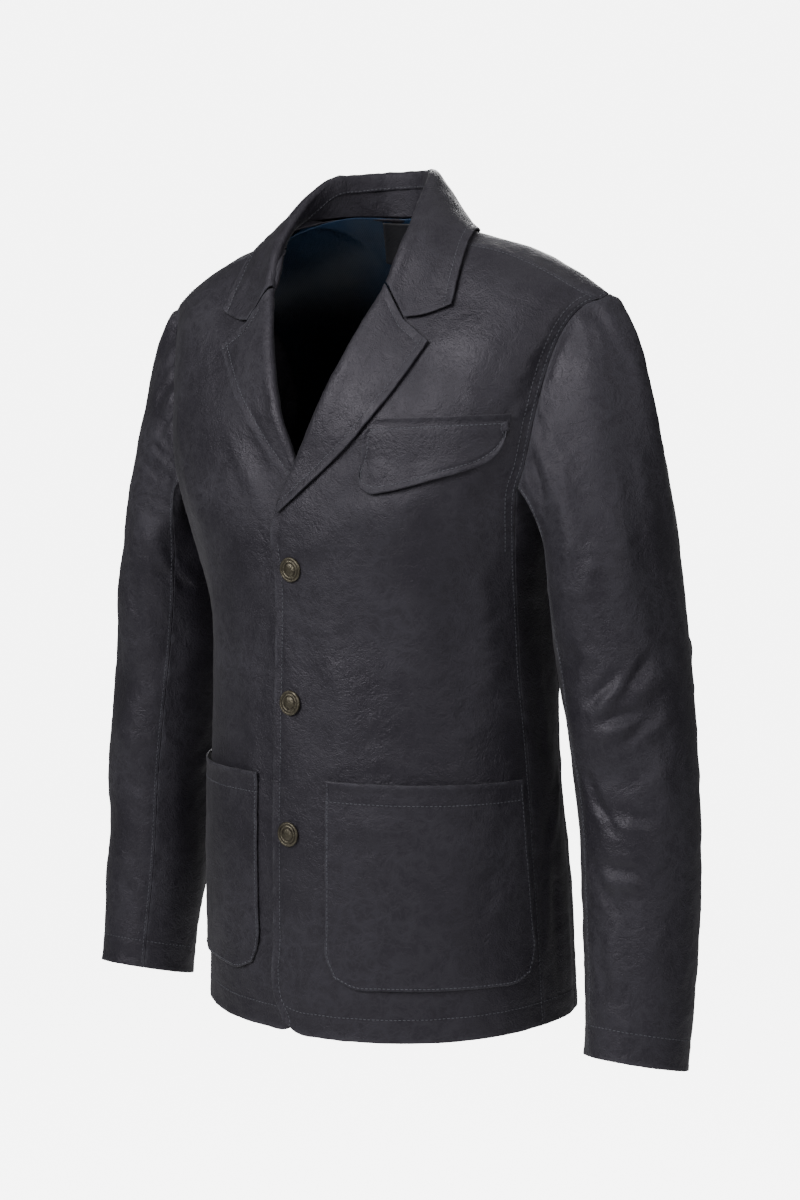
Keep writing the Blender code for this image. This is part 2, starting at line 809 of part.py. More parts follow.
def front_grid_places():
    """Places of one front: rows from the hem to the shoulder seam, columns from the edge out."""
    edge = [front_edge_place(row) for row in range(ROWS_BELOW + 1)]
    edge += [roll_place(row / ROLL_ROWS) for row in range(1, ROLL_ROWS + 1)]
    edge += [as_front(neck_place(mix(1.0, NECK_POINT_TURN, row / NECK_ROWS)))
             for row in range(1, NECK_ROWS + 1)]
    seam = [side_seam_place("front_angle", row) for row in range(ROWS_BELOW + 1)]
    seam += [ARM_PLACES[ARM_ROWS - row] for row in range(1, ARM_ROWS + 1)]
    grid = [[between(left, right, t) for t in FRONT_SHARES] for left, right in zip(edge, seam)]
    grid[0] = edge[:1] + [front_hem_place(mix(edge[0][0], seam[0][0], t)) for t in FRONT_SHARES[1:]]
    return grid


def panel(name, side, places, mitre_cells, tuck=False):
    """Body panel on a grid of places; the cells on the armhole take its mitred wall."""
    outer, inner = [], []
    for row, line in enumerate(places):
        outer_line, inner_line = [], []
        for column, place in enumerate(line):
            lift = 0.0
            if tuck:
                here = form(*place)
                lift = -right_tuck(here.x, here.z)
            point = on_body(side, place, lift)
            outer_line.append(point)
            station = mitre_cells.get((row, column))
            if station is None:
                inner_line.append(on_body(side, place, lift - CLOTH))
            else:
                inner_line.append(point + MITRES[side][station])
        outer.append(outer_line)
        inner.append(inner_line)
    outer, inner = pulled_in(outer, inner, SEAM_PULL)
    return add_wall(name, outer, inner, waxed_cloth())


def add_front(side):
    places = front_grid_places()
    last = len(FRONT_SHARES) - 1
    mitre_cells = {(ROWS_BELOW + row, last): ARM_ROWS - row for row in range(ARM_ROWS + 1)}
    name = "front_left" if side > 0 else "front_right"
    return panel(name, side, places, mitre_cells, tuck=side < 0)


def add_side(side):
    places = []
    for row in range(ROWS_BELOW + 1):
        front = side_seam_place("front_angle", row)
        back = side_seam_place("back_angle", row)
        line = [between(front, back, column / SIDE_COLUMNS) for column in range(SIDE_COLUMNS + 1)]
        if row == 0:
            line = [(angle, level_of(hem_z(angle))) for angle, _ in line]
        if row == ROWS_BELOW:
            line = [ARM_PLACES[ARM_ROWS + column] for column in range(SIDE_COLUMNS + 1)]
        places.append(line)
    mitre_cells = {(ROWS_BELOW, column): ARM_ROWS + column for column in range(SIDE_COLUMNS + 1)}
    return panel("side_left" if side > 0 else "side_right", side, places, mitre_cells)


def back_grid_places():
    """Places of half a back: rows from the hem to the shoulder seam, columns from the centre out."""
    columns = NECK_COLUMNS + FRONT_COLUMNS
    outer = [side_seam_place("back_angle", row) for row in range(ROWS_BELOW + 1)]
    outer += [ARM_PLACES[ARM_ROWS + SIDE_COLUMNS + row] for row in range(1, ARM_ROWS)]
    outer.append(as_back(ARM_PLACES[0]))
    neck_point = as_back(neck_place(NECK_POINT_TURN))
    top = [as_back(neck_place(NECK_POINT_TURN * i / NECK_COLUMNS)) for i in range(NECK_COLUMNS)]
    top += [between(neck_point, outer[-1], t) for t in FRONT_SHARES]
    middle_level = outer[ROWS_BELOW][1]
    centre = [(math.pi, mix(level_of(hem_z(math.pi)), middle_level, row_share(row)))
              for row in range(ROWS_BELOW + 1)]
    centre += [(math.pi, mix(middle_level, top[0][1], row / ARM_ROWS)) for row in range(1, ARM_ROWS + 1)]
    middle = [between(centre[ROWS_BELOW], outer[ROWS_BELOW], i / columns) for i in range(columns + 1)]
    lower = [[between(left, right, i / columns) for i in range(columns + 1)]
             for left, right in zip(centre[:ROWS_BELOW], outer)]
    lower[0] = [(angle, level_of(hem_z(angle))) for angle, _ in lower[0]]
    return lower + coons(middle, top, centre[ROWS_BELOW:], outer[ROWS_BELOW:])


def add_back(side):
    places = back_grid_places()
    last = NECK_COLUMNS + FRONT_COLUMNS
    total = ROWS_BELOW + ARM_ROWS
    mitre_cells = {(ROWS_BELOW + row, last): ARM_ROWS + SIDE_COLUMNS + row for row in range(ARM_ROWS)}
    mitre_cells[(total, last)] = 0
    return panel("back_left" if side > 0 else "back_right", side, places, mitre_cells)


# ---------------------------------------------------------------- lapels and collar
ROLL_RADIUS = 0.0038       # bend of the cloth where the lapel and the collar turn over
BREAK_RADIUS = 0.0019      # tighter bend where the lapel begins
LEAF_LIFT = 0.0034         # the turned-over cloth lies this far above the body
ROLL_REACH = 0.020         # distance over which the roll settles down to that
LAPEL_BOW = (0.017, 0.002)  # the left and the right lapel's outer edge bow outwards by this much
LAPEL_START = 0.04         # share of the roll line where the lapel becomes a piece of its own
RIGHT_LAPEL_START = 0.12   # the right one comes out from under the left
ROLL_ANGLES = (0.0, 60.0, 120.0, 180.0)
LAPEL_SHARES = (0.25, 0.5, 0.75, 1.0)
LEAF_SHARES = (0.21, 0.42, 0.62, 0.81, 1.0)
GORGE_SHARE = {"lapel": 0.5, "collar": 0.42}
HALF_COLLAR_TURNS = (0.0, 0.12, 0.24, 0.36, 0.46, 0.56, 0.66, 0.76, 0.84, 0.92, 1.0)
STAND_END = 0.92           # the stand runs out before the gorge
STAND_LIFT = 0.0014        # the foot of the stand lies this far above the neck seam
FOLD_PULL = 0.0011         # the leaf and the lapels are drawn back from their folds by this much
STAND_PULL = 0.0014        # and the top of the stand by this much
LEAF_SETTLE = 0.72         # from here to the gorge the leaf comes to lie on the chest


def roll_profile(base, across, normal, radius):
    """Points round the fold, from the body's edge over to the outer layer."""
    points = []
    for degrees in ROLL_ANGLES:
        turn = math.radians(degrees)
        points.append(base - across * (radius * math.sin(turn) + SEAM_GAP)
                      + normal * (radius - CLOTH - radius * math.cos(turn)))
    return points


def settled_lift(distance, radius):
    """Height of the turned-over cloth at a distance from the fold."""
    top = 2 * radius - CLOTH
    return LEAF_LIFT + (top - LEAF_LIFT) * math.exp(-(distance / ROLL_REACH) ** 2)


def bent_share(first, corner, last, share, corner_share):
    """Point along first-corner-last, with the corner at a share of the way."""
    if share <= corner_share:
        return between(first, corner, share / corner_share)
    return between(corner, last, (share - corner_share) / (1 - corner_share))


def lapel_grid(side):
    """Grid of a lapel: rows from the break to the gorge, columns from the fold to the edge."""
    start = LAPEL_START if side > 0 else RIGHT_LAPEL_START
    bow = LAPEL_BOW[0] if side > 0 else LAPEL_BOW[1]
    grid = []
    for row in range(ROLL_ROWS + 1):
        t = mix(start, 1.0, row / ROLL_ROWS) if row < 2 else row / ROLL_ROWS
        if row == 1:
            t = max(1 / ROLL_ROWS, (start + 2 / ROLL_ROWS) / 2)
        radius = mix(BREAK_RADIUS, ROLL_RADIUS, ease(t / 0.45))
        roll = roll_xz(t)
        edge = (mix(-OVERLAP, LAPEL_TIP[0], t) + bow * math.sin(math.pi * t),
                mix(BREAK_Z, LAPEL_TIP[1], t))
        base_place = front_place(*roll)
        base = lapel_base(side, base_place)
        edge_point = lapel_base(side, front_place(*edge))
        normal = mirrored(form_normal(*base_place), side)
        across = edge_point - base
        across = (across - normal * across.dot(normal)).normalized()
        line = roll_profile(base, across, normal, radius)
        for share in LAPEL_SHARES:
            straight = between(roll, edge, share)
            if row == ROLL_ROWS:
                straight = bent_share(roll, NOTCH, edge, share, GORGE_SHARE["lapel"])
            place = front_place(*straight)
            reach = (on_body(side, place) - base).length
            line.append(lapel_base(side, place, settled_lift(reach, radius)))
        grid.append(line)
    return grid


def lapel_base(side, place, lift=0.0):
    """Point on the front that a lapel lies on; the right front is tucked in near the break."""
    if side < 0:
        here = form(*place)
        lift -= right_tuck(here.x, here.z)
    return on_body(side, place, lift)


def add_lapel(side):
    grid = lapel_grid(side)
    name = "lapel_left" if side > 0 else "lapel_right"
    return folded_sheet(name, grid, -side)


def folded_sheet(name, grid, sign):
    """Sheet of cloth with gaps left along its seams."""
    normals = grid_normals(grid)
    inner = [[point + normal * CLOTH * sign for point, normal in zip(line, row)]
             for line, row in zip(grid, normals)]
    grid, inner = pulled_in(grid, inner, FOLD_PULL, "lt")
    return add_wall(name, grid, inner, waxed_cloth())


def collar_row(name, turn):
    return tuple(read(COLLAR, name + axis, turn) for axis in "xy")


def fold_point(turn):
    return Vector(tuple(read(COLLAR, "fold_" + axis, turn) for axis in "xyz"))


def form_top(x, y, lift=0.0):
    """Point over the shoulders and the neck at x and y, on the wearer's left."""
    if x < 1e-4:
        level = locate_centre_back(y)
        return on_body(1, (math.pi, level), lift)
    return on_body(1, top_place(x, y), lift)


def collar_line(turn):
    """Points across the collar leaf at a turn on the wearer's left, from the fold to the edge."""
    small = 0.01
    base = fold_point(turn)
    edge_xy = collar_row("edge_", turn)
    edge = form_top(*edge_xy, LEAF_LIFT)
    along = (fold_point(min(turn + small, 1.0)) - fold_point(max(turn - small, 0.0))).normalized()
    if turn == 0.0:
        along = Vector((1.0, 0.0, 0.0))
    across = edge - base
    across = (across - along * across.dot(along)).normalized()
    normal = along.cross(across).normalized()
    settled = ease((turn - LEAF_SETTLE) / (1 - LEAF_SETTLE))
    if turn == 1.0:
        base, across, normal = gorge_frame()
    line = roll_profile(base, across, normal, ROLL_RADIUS)
    crest = line[-1]
    pull = (edge - crest).length
    fold_xy = (base.x, base.y)
    notch_xy = notch_on_form()
    for share in LEAF_SHARES:
        hanging = hermite(crest, across * pull, edge, (edge - crest) * 0.9, share)
        straight = between(fold_xy, edge_xy, share)
        bent = bent_share(fold_xy, notch_xy, edge_xy, share, GORGE_SHARE["collar"])
        bend = ease((turn - 0.80) / 0.20) ** 2
        x, y = between(straight, bent, bend)
        if settled > 0:
            reach = (form_top(x, y) - base).length
            lying = form_top(x, y, settled_lift(reach, ROLL_RADIUS))
            hanging = hanging.lerp(lying, settled)
        line.append(hanging)
    return line


def gorge_frame():
    """Base point, direction across and normal of the fold at the gorge, shared with the lapel."""
    place = roll_place(1.0)
    base = on_body(1, place)
    normal = form_normal(*place)
    across = on_body(1, front_place(*LAPEL_TIP)) - base
    across = (across - normal * across.dot(normal)).normalized()
    return base, across, normal


def notch_on_form():
    point = form(*front_place(*NOTCH))
    return point.x, point.y


def add_collar_leaf():
    half = [collar_line(turn) for turn in HALF_COLLAR_TURNS]
    right = [[mirrored(point, -1) for point in line] for line in half[:0:-1]]
    grid = right + half
    normals = grid_normals(grid)
    inner = [[point + normal * CLOTH for point, normal in zip(line, row)]
             for line, row in zip(grid, normals)]
    grid, inner = pulled_in(grid, inner, FOLD_PULL, "btl")
    return add_wall("collar_leaf", grid, inner, waxed_cloth())


def add_collar_stand():
    """Upright band inside the collar, from the neck seam to the fold."""
    half = []
    for turn in HALF_COLLAR_TURNS:
        if turn > STAND_END:
            break
        top = fold_point(turn)
        place = as_back(neck_place(turn))
        foot = on_body(1, place, STAND_LIFT)
        half.append([foot.lerp(top, share) for share in (0.0, 0.5, 1.0)])
    right = [[mirrored(point, -1) for point in line] for line in half[:0:-1]]
    grid = right + half
    normals = grid_normals(grid)
    inner = [[point + normal * CLOTH for point, normal in zip(line, row)]
             for line, row in zip(grid, normals)]
    grid, inner = pulled_in(grid, inner, STAND_PULL, "r")
    return add_wall("collar_stand", grid, inner, waxed_cloth())


# ---------------------------------------------------------------- lining and label
LINING = 0.0010            # wall of the satin
LINING_GAP = 0.0040        # the satin hangs this far inside the cloth
LINING_FIRST_ROW = 7       # row of the back where the satin's lower edge hangs
LINING_COLUMNS = 8         # columns of half a back that the satin covers


def lining_grids():
    """Both faces of the satin inside the upper back, moved in from the inner face of the back."""
    places = [line[:LINING_COLUMNS + 1] for line in back_grid_places()[LINING_FIRST_ROW:]]
    back = []
    for line in places:
        left = [on_body(1, place, -CLOTH) for place in line]
        right = [on_body(-1, place, -CLOTH) for place in line[:0:-1]]
        back.append(right + left)
    normals = grid_normals(back)
    return [[[point + normal * depth for point, normal in zip(line, row)]
             for line, row in zip(back, normals)]
            for depth in (LINING_GAP, LINING_GAP + LINING)]


def add_back_lining():
    outer, inner = lining_grids()
    outer, inner = pulled_in(outer, inner, SEAM_GAP, "t")
    return add_wall("back_lining", outer, inner, lining_satin(), LINING_COLUMNS)


LABEL_WALL = 0.0008
LABEL_GAP = 0.0005
LABEL_COLUMNS = 2          # quarter columns of the satin that the label covers on each side
LABEL_ROWS = (10, 1)       # quarter rows of the satin from its upper edge to the label's edges


def halved(grid):
    """The same facets with every cell cut in four; the first half's diagonals run the other way."""
    wide = []
    for line in grid:
        row = [line[0]]
        for here, there in zip(line, line[1:]):
            row += [(here + there) / 2, there]
        wide.append(row)
    tall = [wide[0]]
    half = len(wide[0]) // 2
    for upper, lower in zip(wide, wide[1:]):
        middle = [(upper[i] + lower[i]) / 2 for i in range(len(upper))]
        for i in range(1, len(upper), 2):
            step = 1 if i < half else -1
            middle[i] = (upper[i + step] + lower[i - step]) / 2
        tall += [middle, lower]
    return tall


def add_neck_label():
    """Plain woven label on the satin at the centre back."""
    satin = halved(halved(lining_grids()[1]))
    top = len(satin) - 1
    centre = len(satin[0]) // 2
    block = [line[centre - LABEL_COLUMNS:centre + LABEL_COLUMNS + 1]
             for line in satin[top - LABEL_ROWS[0]:top - LABEL_ROWS[1] + 1]]
    normals = grid_normals(block)
    grids = [[[point + normal * depth for point, normal in zip(line, row)]
              for line, row in zip(block, normals)]
             for depth in (LABEL_GAP, LABEL_GAP + LABEL_WALL)]
    return add_wall("neck_label", grids[0], grids[1], label_tape(), LABEL_COLUMNS)


# ---------------------------------------------------------------- pockets
POCKET_INNER_X = 0.037
POCKET_TOP_INNER_Z = -0.466
POCKET_TOP_OUTER_Z = -0.468
POCKET_BOTTOM_Z = -0.638
POCKET_OUTER_ANGLE = (79.0, 77.3)     # degrees, at the bottom and at the top
POCKET_CORNER = 0.026
POCKET_SIZE = (0.190, 0.172)          # width and height along the cloth
POCKET_CELLS = (8, 7)
POCKET_LIFT = 0.0028
POCKET_BELLY = 0.0016
POCKET_GAPE = 0.0012


def rounded_outline_grid(width, height, corner, columns, rows):
    """Grid that fills a patch with two rounded lower corners."""
    def left_edge(t):
        along = t * height
        if along < corner:
            turn = math.pi / 4 * (1 - along / corner)
            return corner * (1 - math.cos(turn)), corner * (1 - math.sin(turn))
        return 0.0, along

    def bottom_edge(t):
        along = t * width
        mirror = along > width / 2
        near = width - along if mirror else along
        if near < corner:
            turn = math.pi / 4 * (1 - near / corner)
            x, y = corner * (1 - math.sin(turn)), corner * (1 - math.cos(turn))
        else:
            x, y = near, 0.0
        return (width - x if mirror else x), y

    left = [left_edge(i / rows) for i in range(rows + 1)]
    right = [(width - x, y) for x, y in left]
    bottom = [bottom_edge(j / columns) for j in range(columns + 1)]
    top = [(mix(left[-1][0], right[-1][0], j / columns), height) for j in range(columns + 1)]
    return coons(bottom, top, left, right)


def pocket_place(x, y):
    """Place on the front under a point of the flat pocket."""
    across = x / POCKET_SIZE[0]
    up = y / POCKET_SIZE[1]
    top = mix(POCKET_TOP_INNER_Z, POCKET_TOP_OUTER_Z, across)
    z = mix(POCKET_BOTTOM_Z, top, up)
    inner_angle = front_place(POCKET_INNER_X, z)[0]
    outer_angle = math.radians(mix(*POCKET_OUTER_ANGLE, up))
    return mix(inner_angle, outer_angle, across), level_of(z)


def add_patch_pocket(side):
    """Patch pocket, open at the top, lying on its front."""
    width, height = POCKET_SIZE
    grid, inner = [], []
    for line in rounded_outline_grid(width, height, POCKET_CORNER, *POCKET_CELLS):
        outer_line, inner_line = [], []
        for x, y in line:
            place = pocket_place(x, y)
            middle = math.sin(math.pi * x / width)
            lift = POCKET_LIFT + POCKET_BELLY * middle * math.sin(math.pi * y / height)
            lift += POCKET_GAPE * middle * ease((y - 0.7 * height) / (0.3 * height))
            tuck = right_tuck(form(*place).x, form(*place).z) if side < 0 else 0.0
            outer_line.append(on_body(side, place, lift - tuck))
            inner_line.append(on_body(side, place, lift - tuck - CLOTH))
        grid.append(outer_line)
        inner.append(inner_line)
    name = "patch_pocket_left" if side > 0 else "patch_pocket_right"
    return add_wall(name, grid, inner, waxed_cloth())


class FlapColumn(NamedTuple):
    """Column of the chest flap: angle in degrees, heights of its top and its lower edge."""
    angle: float
    top_z: float
    bottom_z: float


FLAP = (
    FlapColumn(17.0, -0.1805, -0.2125),
    FlapColumn(18.0, -0.1804, -0.2235),
    FlapColumn(20.3, -0.1802, -0.2285),
    FlapColumn(25.0, -0.1797, -0.2275),
    FlapColumn(31.5, -0.1788, -0.2222),
    FlapColumn(38.0, -0.1780, -0.2158),
    FlapColumn(44.0, -0.1772, -0.2105),
    FlapColumn(49.0, -0.1766, -0.2052),
    FlapColumn(53.0, -0.1761, -0.1988),
    FlapColumn(56.0, -0.1757, -0.1890),
    FlapColumn(57.5, -0.1755, -0.1780),
)
WELT_RISE = 0.011
WELT_LIFT = 0.0022
FLAP_LIFT = 0.0036
FLAP_ROWS = 4
WELT_START = (16.6, 19.6)  # degrees where the band comes out from under the lapel, bottom and top
WELT_END = 58.2
FLAP_HEM_DROP = 0.0008     # the flap's upper edge lies this much closer than its hem
CHEST_REACH = 0.19         # distance from the body's axis to the flap, near enough
SNAP_BUMP = 0.0012         # the hidden snap pushes the flap out by this much
SNAP_BUMP_RADIUS = 0.007
SNAP_BUMP_PLACE = (23.0, -0.209)   # angle in degrees, and height


def add_chest_welt():
    """Band above the flap that holds its upper edge."""
    grid, inner = [], []
    for row in range(2):
        outer_line, inner_line = [], []
        for flap_column in FLAP:
            along = (flap_column.angle - FLAP[0].angle) / (FLAP[-1].angle - FLAP[0].angle)
            angle = mix(WELT_START[row], WELT_END, along)
            z = read(FLAP, "top_z", angle) + mix(SEAM_GAP, WELT_RISE, row)
            place = (math.radians(angle), z_level(z, math.radians(angle)))
            outer_line.append(on_body(1, place, WELT_LIFT))
            inner_line.append(on_body(1, place, WELT_LIFT - CLOTH))
        grid.append(outer_line)
        inner.append(inner_line)
    return add_wall("chest_welt", grid, inner, waxed_cloth())


def add_chest_flap():
    """Slanted flap hanging from the band."""
    grid, inner = [], []
    for row in range(FLAP_ROWS + 1):
        outer_line, inner_line = [], []
        for angle, top, bottom in FLAP:
            z = mix(bottom, top - HALF_GAP, row / FLAP_ROWS)
            place = (math.radians(angle), z_level(z, math.radians(angle)))
            bump_angle, bump_z = SNAP_BUMP_PLACE
            from_bump = math.hypot(math.radians(angle - bump_angle) * CHEST_REACH, z - bump_z)
            lift = FLAP_LIFT - FLAP_HEM_DROP * row / FLAP_ROWS
            lift += SNAP_BUMP * math.exp(-(from_bump / SNAP_BUMP_RADIUS) ** 2)
            outer_line.append(on_body(1, place, lift))
            inner_line.append(on_body(1, place, lift - CLOTH))
        grid.append(outer_line)
        inner.append(inner_line)
    return add_wall("chest_flap", grid, inner, waxed_cloth())


def z_level(z, angle):
    """Level of the form at an angle and a height in front."""
    if z <= UNDERARM_Z:
        return level_of(z)
    low, high = 0.0, 1.0
    for _ in range(30):
        middle = (low + high) / 2
        if form(angle, middle).z < z:
            low = middle
        else:
            high = middle
    return low


# ---------------------------------------------------------------- snaps
SNAP_RADIUS = 0.0100
SNAP_DOME = 0.0030
SNAP_RIM = 0.0012
SNAP_RIM_WIDTH = 0.0016
SNAP_X = 0.0005            # the snaps sit this far to the wearer's left
SNAP_STANDOFF = SEAM_GAP * 2.4   # space under a cap, on the curved cloth
SNAP_ZS = (-0.293, -0.404, -0.514)
SNAP_SIDES = 24
SNAP_NAMES = ("snap_top", "snap_middle", "snap_bottom")


def snap_profile():
    """Radius and height of the cap's turned outline, from the centre of its face to the back."""
    flange = SNAP_RADIUS - SNAP_RIM_WIDTH
    return ((0.0, SNAP_DOME), (flange * 0.45, SNAP_DOME * 0.93), (flange * 0.80, SNAP_DOME * 0.66),
            (flange, SNAP_RIM * 0.9), (flange + SNAP_RIM_WIDTH / 4, SNAP_RIM * 1.45),
            (SNAP_RADIUS, SNAP_RIM), (SNAP_RADIUS, 0.0), (0.0, 0.0))


def add_snap(name, z):
    """Domed cap of a ring snap on the centre line, with its back on the cloth."""
    place = front_place(SNAP_X, z)
    normal = form_normal(*place)
    base = on_body(1, place, SNAP_STANDOFF)
    side_way = Vector((0.0, 0.0, 1.0)).cross(normal).normalized()
    up_way = normal.cross(side_way)
    profile = snap_profile()
    points = [base + normal * profile[0][1]]
    for radius, height in profile[1:-1]:
        for i in range(SNAP_SIDES):
            turn = 2 * math.pi * i / SNAP_SIDES
            points.append(base + side_way * radius * math.cos(turn)
                          + up_way * radius * math.sin(turn) + normal * height)
    points.append(base)
    last = len(points) - 1
    faces = []
    for i in range(SNAP_SIDES):
        j = (i + 1) % SNAP_SIDES
        faces.append((0, 1 + i, 1 + j))
        for ring in range(len(profile) - 3):
            a, b = 1 + ring * SNAP_SIDES + i, 1 + ring * SNAP_SIDES + j
            faces.append((a, a + SNAP_SIDES, b + SNAP_SIDES, b))
        faces.append((last, last - SNAP_SIDES + j, last - SNAP_SIDES + i))
    mesh = bpy.data.meshes.new(name)
    mesh.from_pydata(points, [], faces)
    return add_object(name, mesh, aged_brass())


# ---------------------------------------------------------------- the whole blazer
def clear_scene():
    for thing in list(bpy.data.objects):
        bpy.data.objects.remove(thing, do_unlink=True)


def main():
    clear_scene()
    for side in (1, -1):
        add_front(side)
        add_side(side)
        add_back(side)
        add_lapel(side)
        add_patch_pocket(side)
        end = "left" if side > 0 else "right"
        sleeve_piece("top_sleeve_" + end, side, BACK_SEAM_STATION, len(ARM_PLACES) + FRONT_SEAM_STATION)
        sleeve_piece("under_sleeve_" + end, side, FRONT_SEAM_STATION, BACK_SEAM_STATION)
    add_collar_leaf()
    add_collar_stand()
    add_back_lining()
    add_neck_label()
    add_chest_welt()
    add_chest_flap()
    for name, z in zip(SNAP_NAMES, SNAP_ZS):
        add_snap(name, z)


main()
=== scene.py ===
import math
from typing import NamedTuple

import bpy
import numpy as np
from bpy.props import FloatProperty, FloatVectorProperty, IntProperty, PointerProperty
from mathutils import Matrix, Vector, kdtree, noise


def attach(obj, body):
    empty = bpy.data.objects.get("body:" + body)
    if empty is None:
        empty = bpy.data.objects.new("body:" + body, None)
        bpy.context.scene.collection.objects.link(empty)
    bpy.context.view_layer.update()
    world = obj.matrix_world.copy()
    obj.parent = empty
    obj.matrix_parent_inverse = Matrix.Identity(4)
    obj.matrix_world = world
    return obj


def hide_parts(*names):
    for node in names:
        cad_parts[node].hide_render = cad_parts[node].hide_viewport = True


bl_info = {
    "name": "Waxed Cloth Blazer",
    "version": (1, 0, 0),
    "blender": (4, 5, 0),
    "location": "View3D > Sidebar > Blazer",
    "description": "Dresses the blazer's panels in waxed cloth, with satin, stitching and snaps",
    "category": "Object",
}

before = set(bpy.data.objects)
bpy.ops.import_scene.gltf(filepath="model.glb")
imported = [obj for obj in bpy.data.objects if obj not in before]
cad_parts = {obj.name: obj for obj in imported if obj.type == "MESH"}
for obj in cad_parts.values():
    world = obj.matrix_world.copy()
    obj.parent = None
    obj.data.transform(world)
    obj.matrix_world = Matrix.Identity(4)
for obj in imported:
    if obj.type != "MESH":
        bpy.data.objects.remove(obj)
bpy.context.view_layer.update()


# ---------------------------------------------------------------- sizes and colours
class ClothSizes(bpy.types.PropertyGroup):
    """Sizes and colours of the waxed cloth."""
    cell: FloatProperty(
        name="Cell", description="Spacing of the cloth's mesh", default=0.004, unit="LENGTH")
    wall: FloatProperty(
        name="Wall", description="Thickness of one layer of cloth", default=0.0015, unit="LENGTH")
    seam_valley: FloatProperty(
        name="Seam Valley", description="How far a seam draws in", default=0.0004, unit="LENGTH")
    pucker: FloatProperty(
        name="Pucker", description="Height of the puckers at a seam", default=0.0006, unit="LENGTH")
    crumple: FloatProperty(
        name="Crumple", description="Height of the broad creasing", default=0.0008, unit="LENGTH")
    dark: FloatVectorProperty(
        name="Dark", description="Colour of the waxed cloth", subtype="COLOR",
        default=(0.0092, 0.0078, 0.0125))
    worn: FloatVectorProperty(
        name="Worn", description="Colour where the wax has cracked", subtype="COLOR",
        default=(0.044, 0.043, 0.053))


class StitchSizes(bpy.types.PropertyGroup):
    """Sizes and colour of the topstitching."""
    length: FloatProperty(
        name="Length", description="Length of one stitch", default=0.0027, unit="LENGTH")
    gap: FloatProperty(
        name="Gap", description="Space between two stitches", default=0.0010, unit="LENGTH")
    radius: FloatProperty(
        name="Radius", description="Half the thread's width", default=0.00036, unit="LENGTH")
    colour: FloatVectorProperty(
        name="Colour", description="Colour of the thread", subtype="COLOR",
        default=(0.115, 0.118, 0.140))


class LiningSizes(bpy.types.PropertyGroup):
    """Sizes and colours of the satin and the neck label."""
    wall: FloatProperty(
        name="Wall", description="Thickness of the satin", default=0.0010, unit="LENGTH")
    satin: FloatVectorProperty(
        name="Satin", description="Colour of the satin", subtype="COLOR",
        default=(0.022, 0.056, 0.120))
    tape: FloatVectorProperty(
        name="Tape", description="Colour of the label", subtype="COLOR",
        default=(0.008, 0.008, 0.010))


class SnapSizes(bpy.types.PropertyGroup):
    """Sizes and colours of the snap caps."""
    radius: FloatProperty(
        name="Radius", description="Radius of a snap cap", default=0.0102, unit="LENGTH")
    height: FloatProperty(
        name="Height", description="Height of a snap cap", default=0.0026, unit="LENGTH")
    sides: IntProperty(
        name="Sides", description="Faces round a snap cap", default=64)
    brass: FloatVectorProperty(
        name="Brass", description="Colour of the aged brass", subtype="COLOR",
        default=(0.150, 0.134, 0.098))
    tarnish: FloatVectorProperty(
        name="Tarnish", description="Colour of the tarnish in its hollows", subtype="COLOR",
        default=(0.026, 0.021, 0.017))


class StageSizes(bpy.types.PropertyGroup):
    """Sizes and colours of the stage."""
    floor_z: FloatProperty(
        name="Floor Height", description="Height of the floor", default=-1.45, unit="LENGTH")
    pale: FloatVectorProperty(
        name="Pale", description="Colour of the floor and of the room", subtype="COLOR",
        default=(0.90, 0.90, 0.90))
    glow: FloatProperty(
        name="Glow", description="How bright the floor and the room look", default=7.0)
    dim: FloatProperty(
        name="Dim", description="How much light the room gives", default=0.06)
    lens: FloatProperty(
        name="Lens", description="Focal length of the camera", default=66.0)


# ---------------------------------------------------------------- tables
# How a side of a panel is finished: sewn to another, a finished edge, tucked out of sight, or
# turned over at a fold.
SEAM, EDGE, TUCK, TURN = "seam", "edge", "tuck", "turn"
SIDES = ("first", "last", "bottom", "top")


class Panel(NamedTuple):
    """A sheet of cloth: its CAD node, the rows and columns of that node's grid of points, how
    many columns have their triangles turned, the grid's first point and the one beside it, how
    its four sides are finished, whose folds it has, and the size and area that it was cut to."""
    node: str
    rows: int
    columns: int
    turned: int
    corner: tuple
    beside: tuple
    first: str
    last: str
    bottom: str
    top: str
    folds: str
    flat: tuple
    area: float


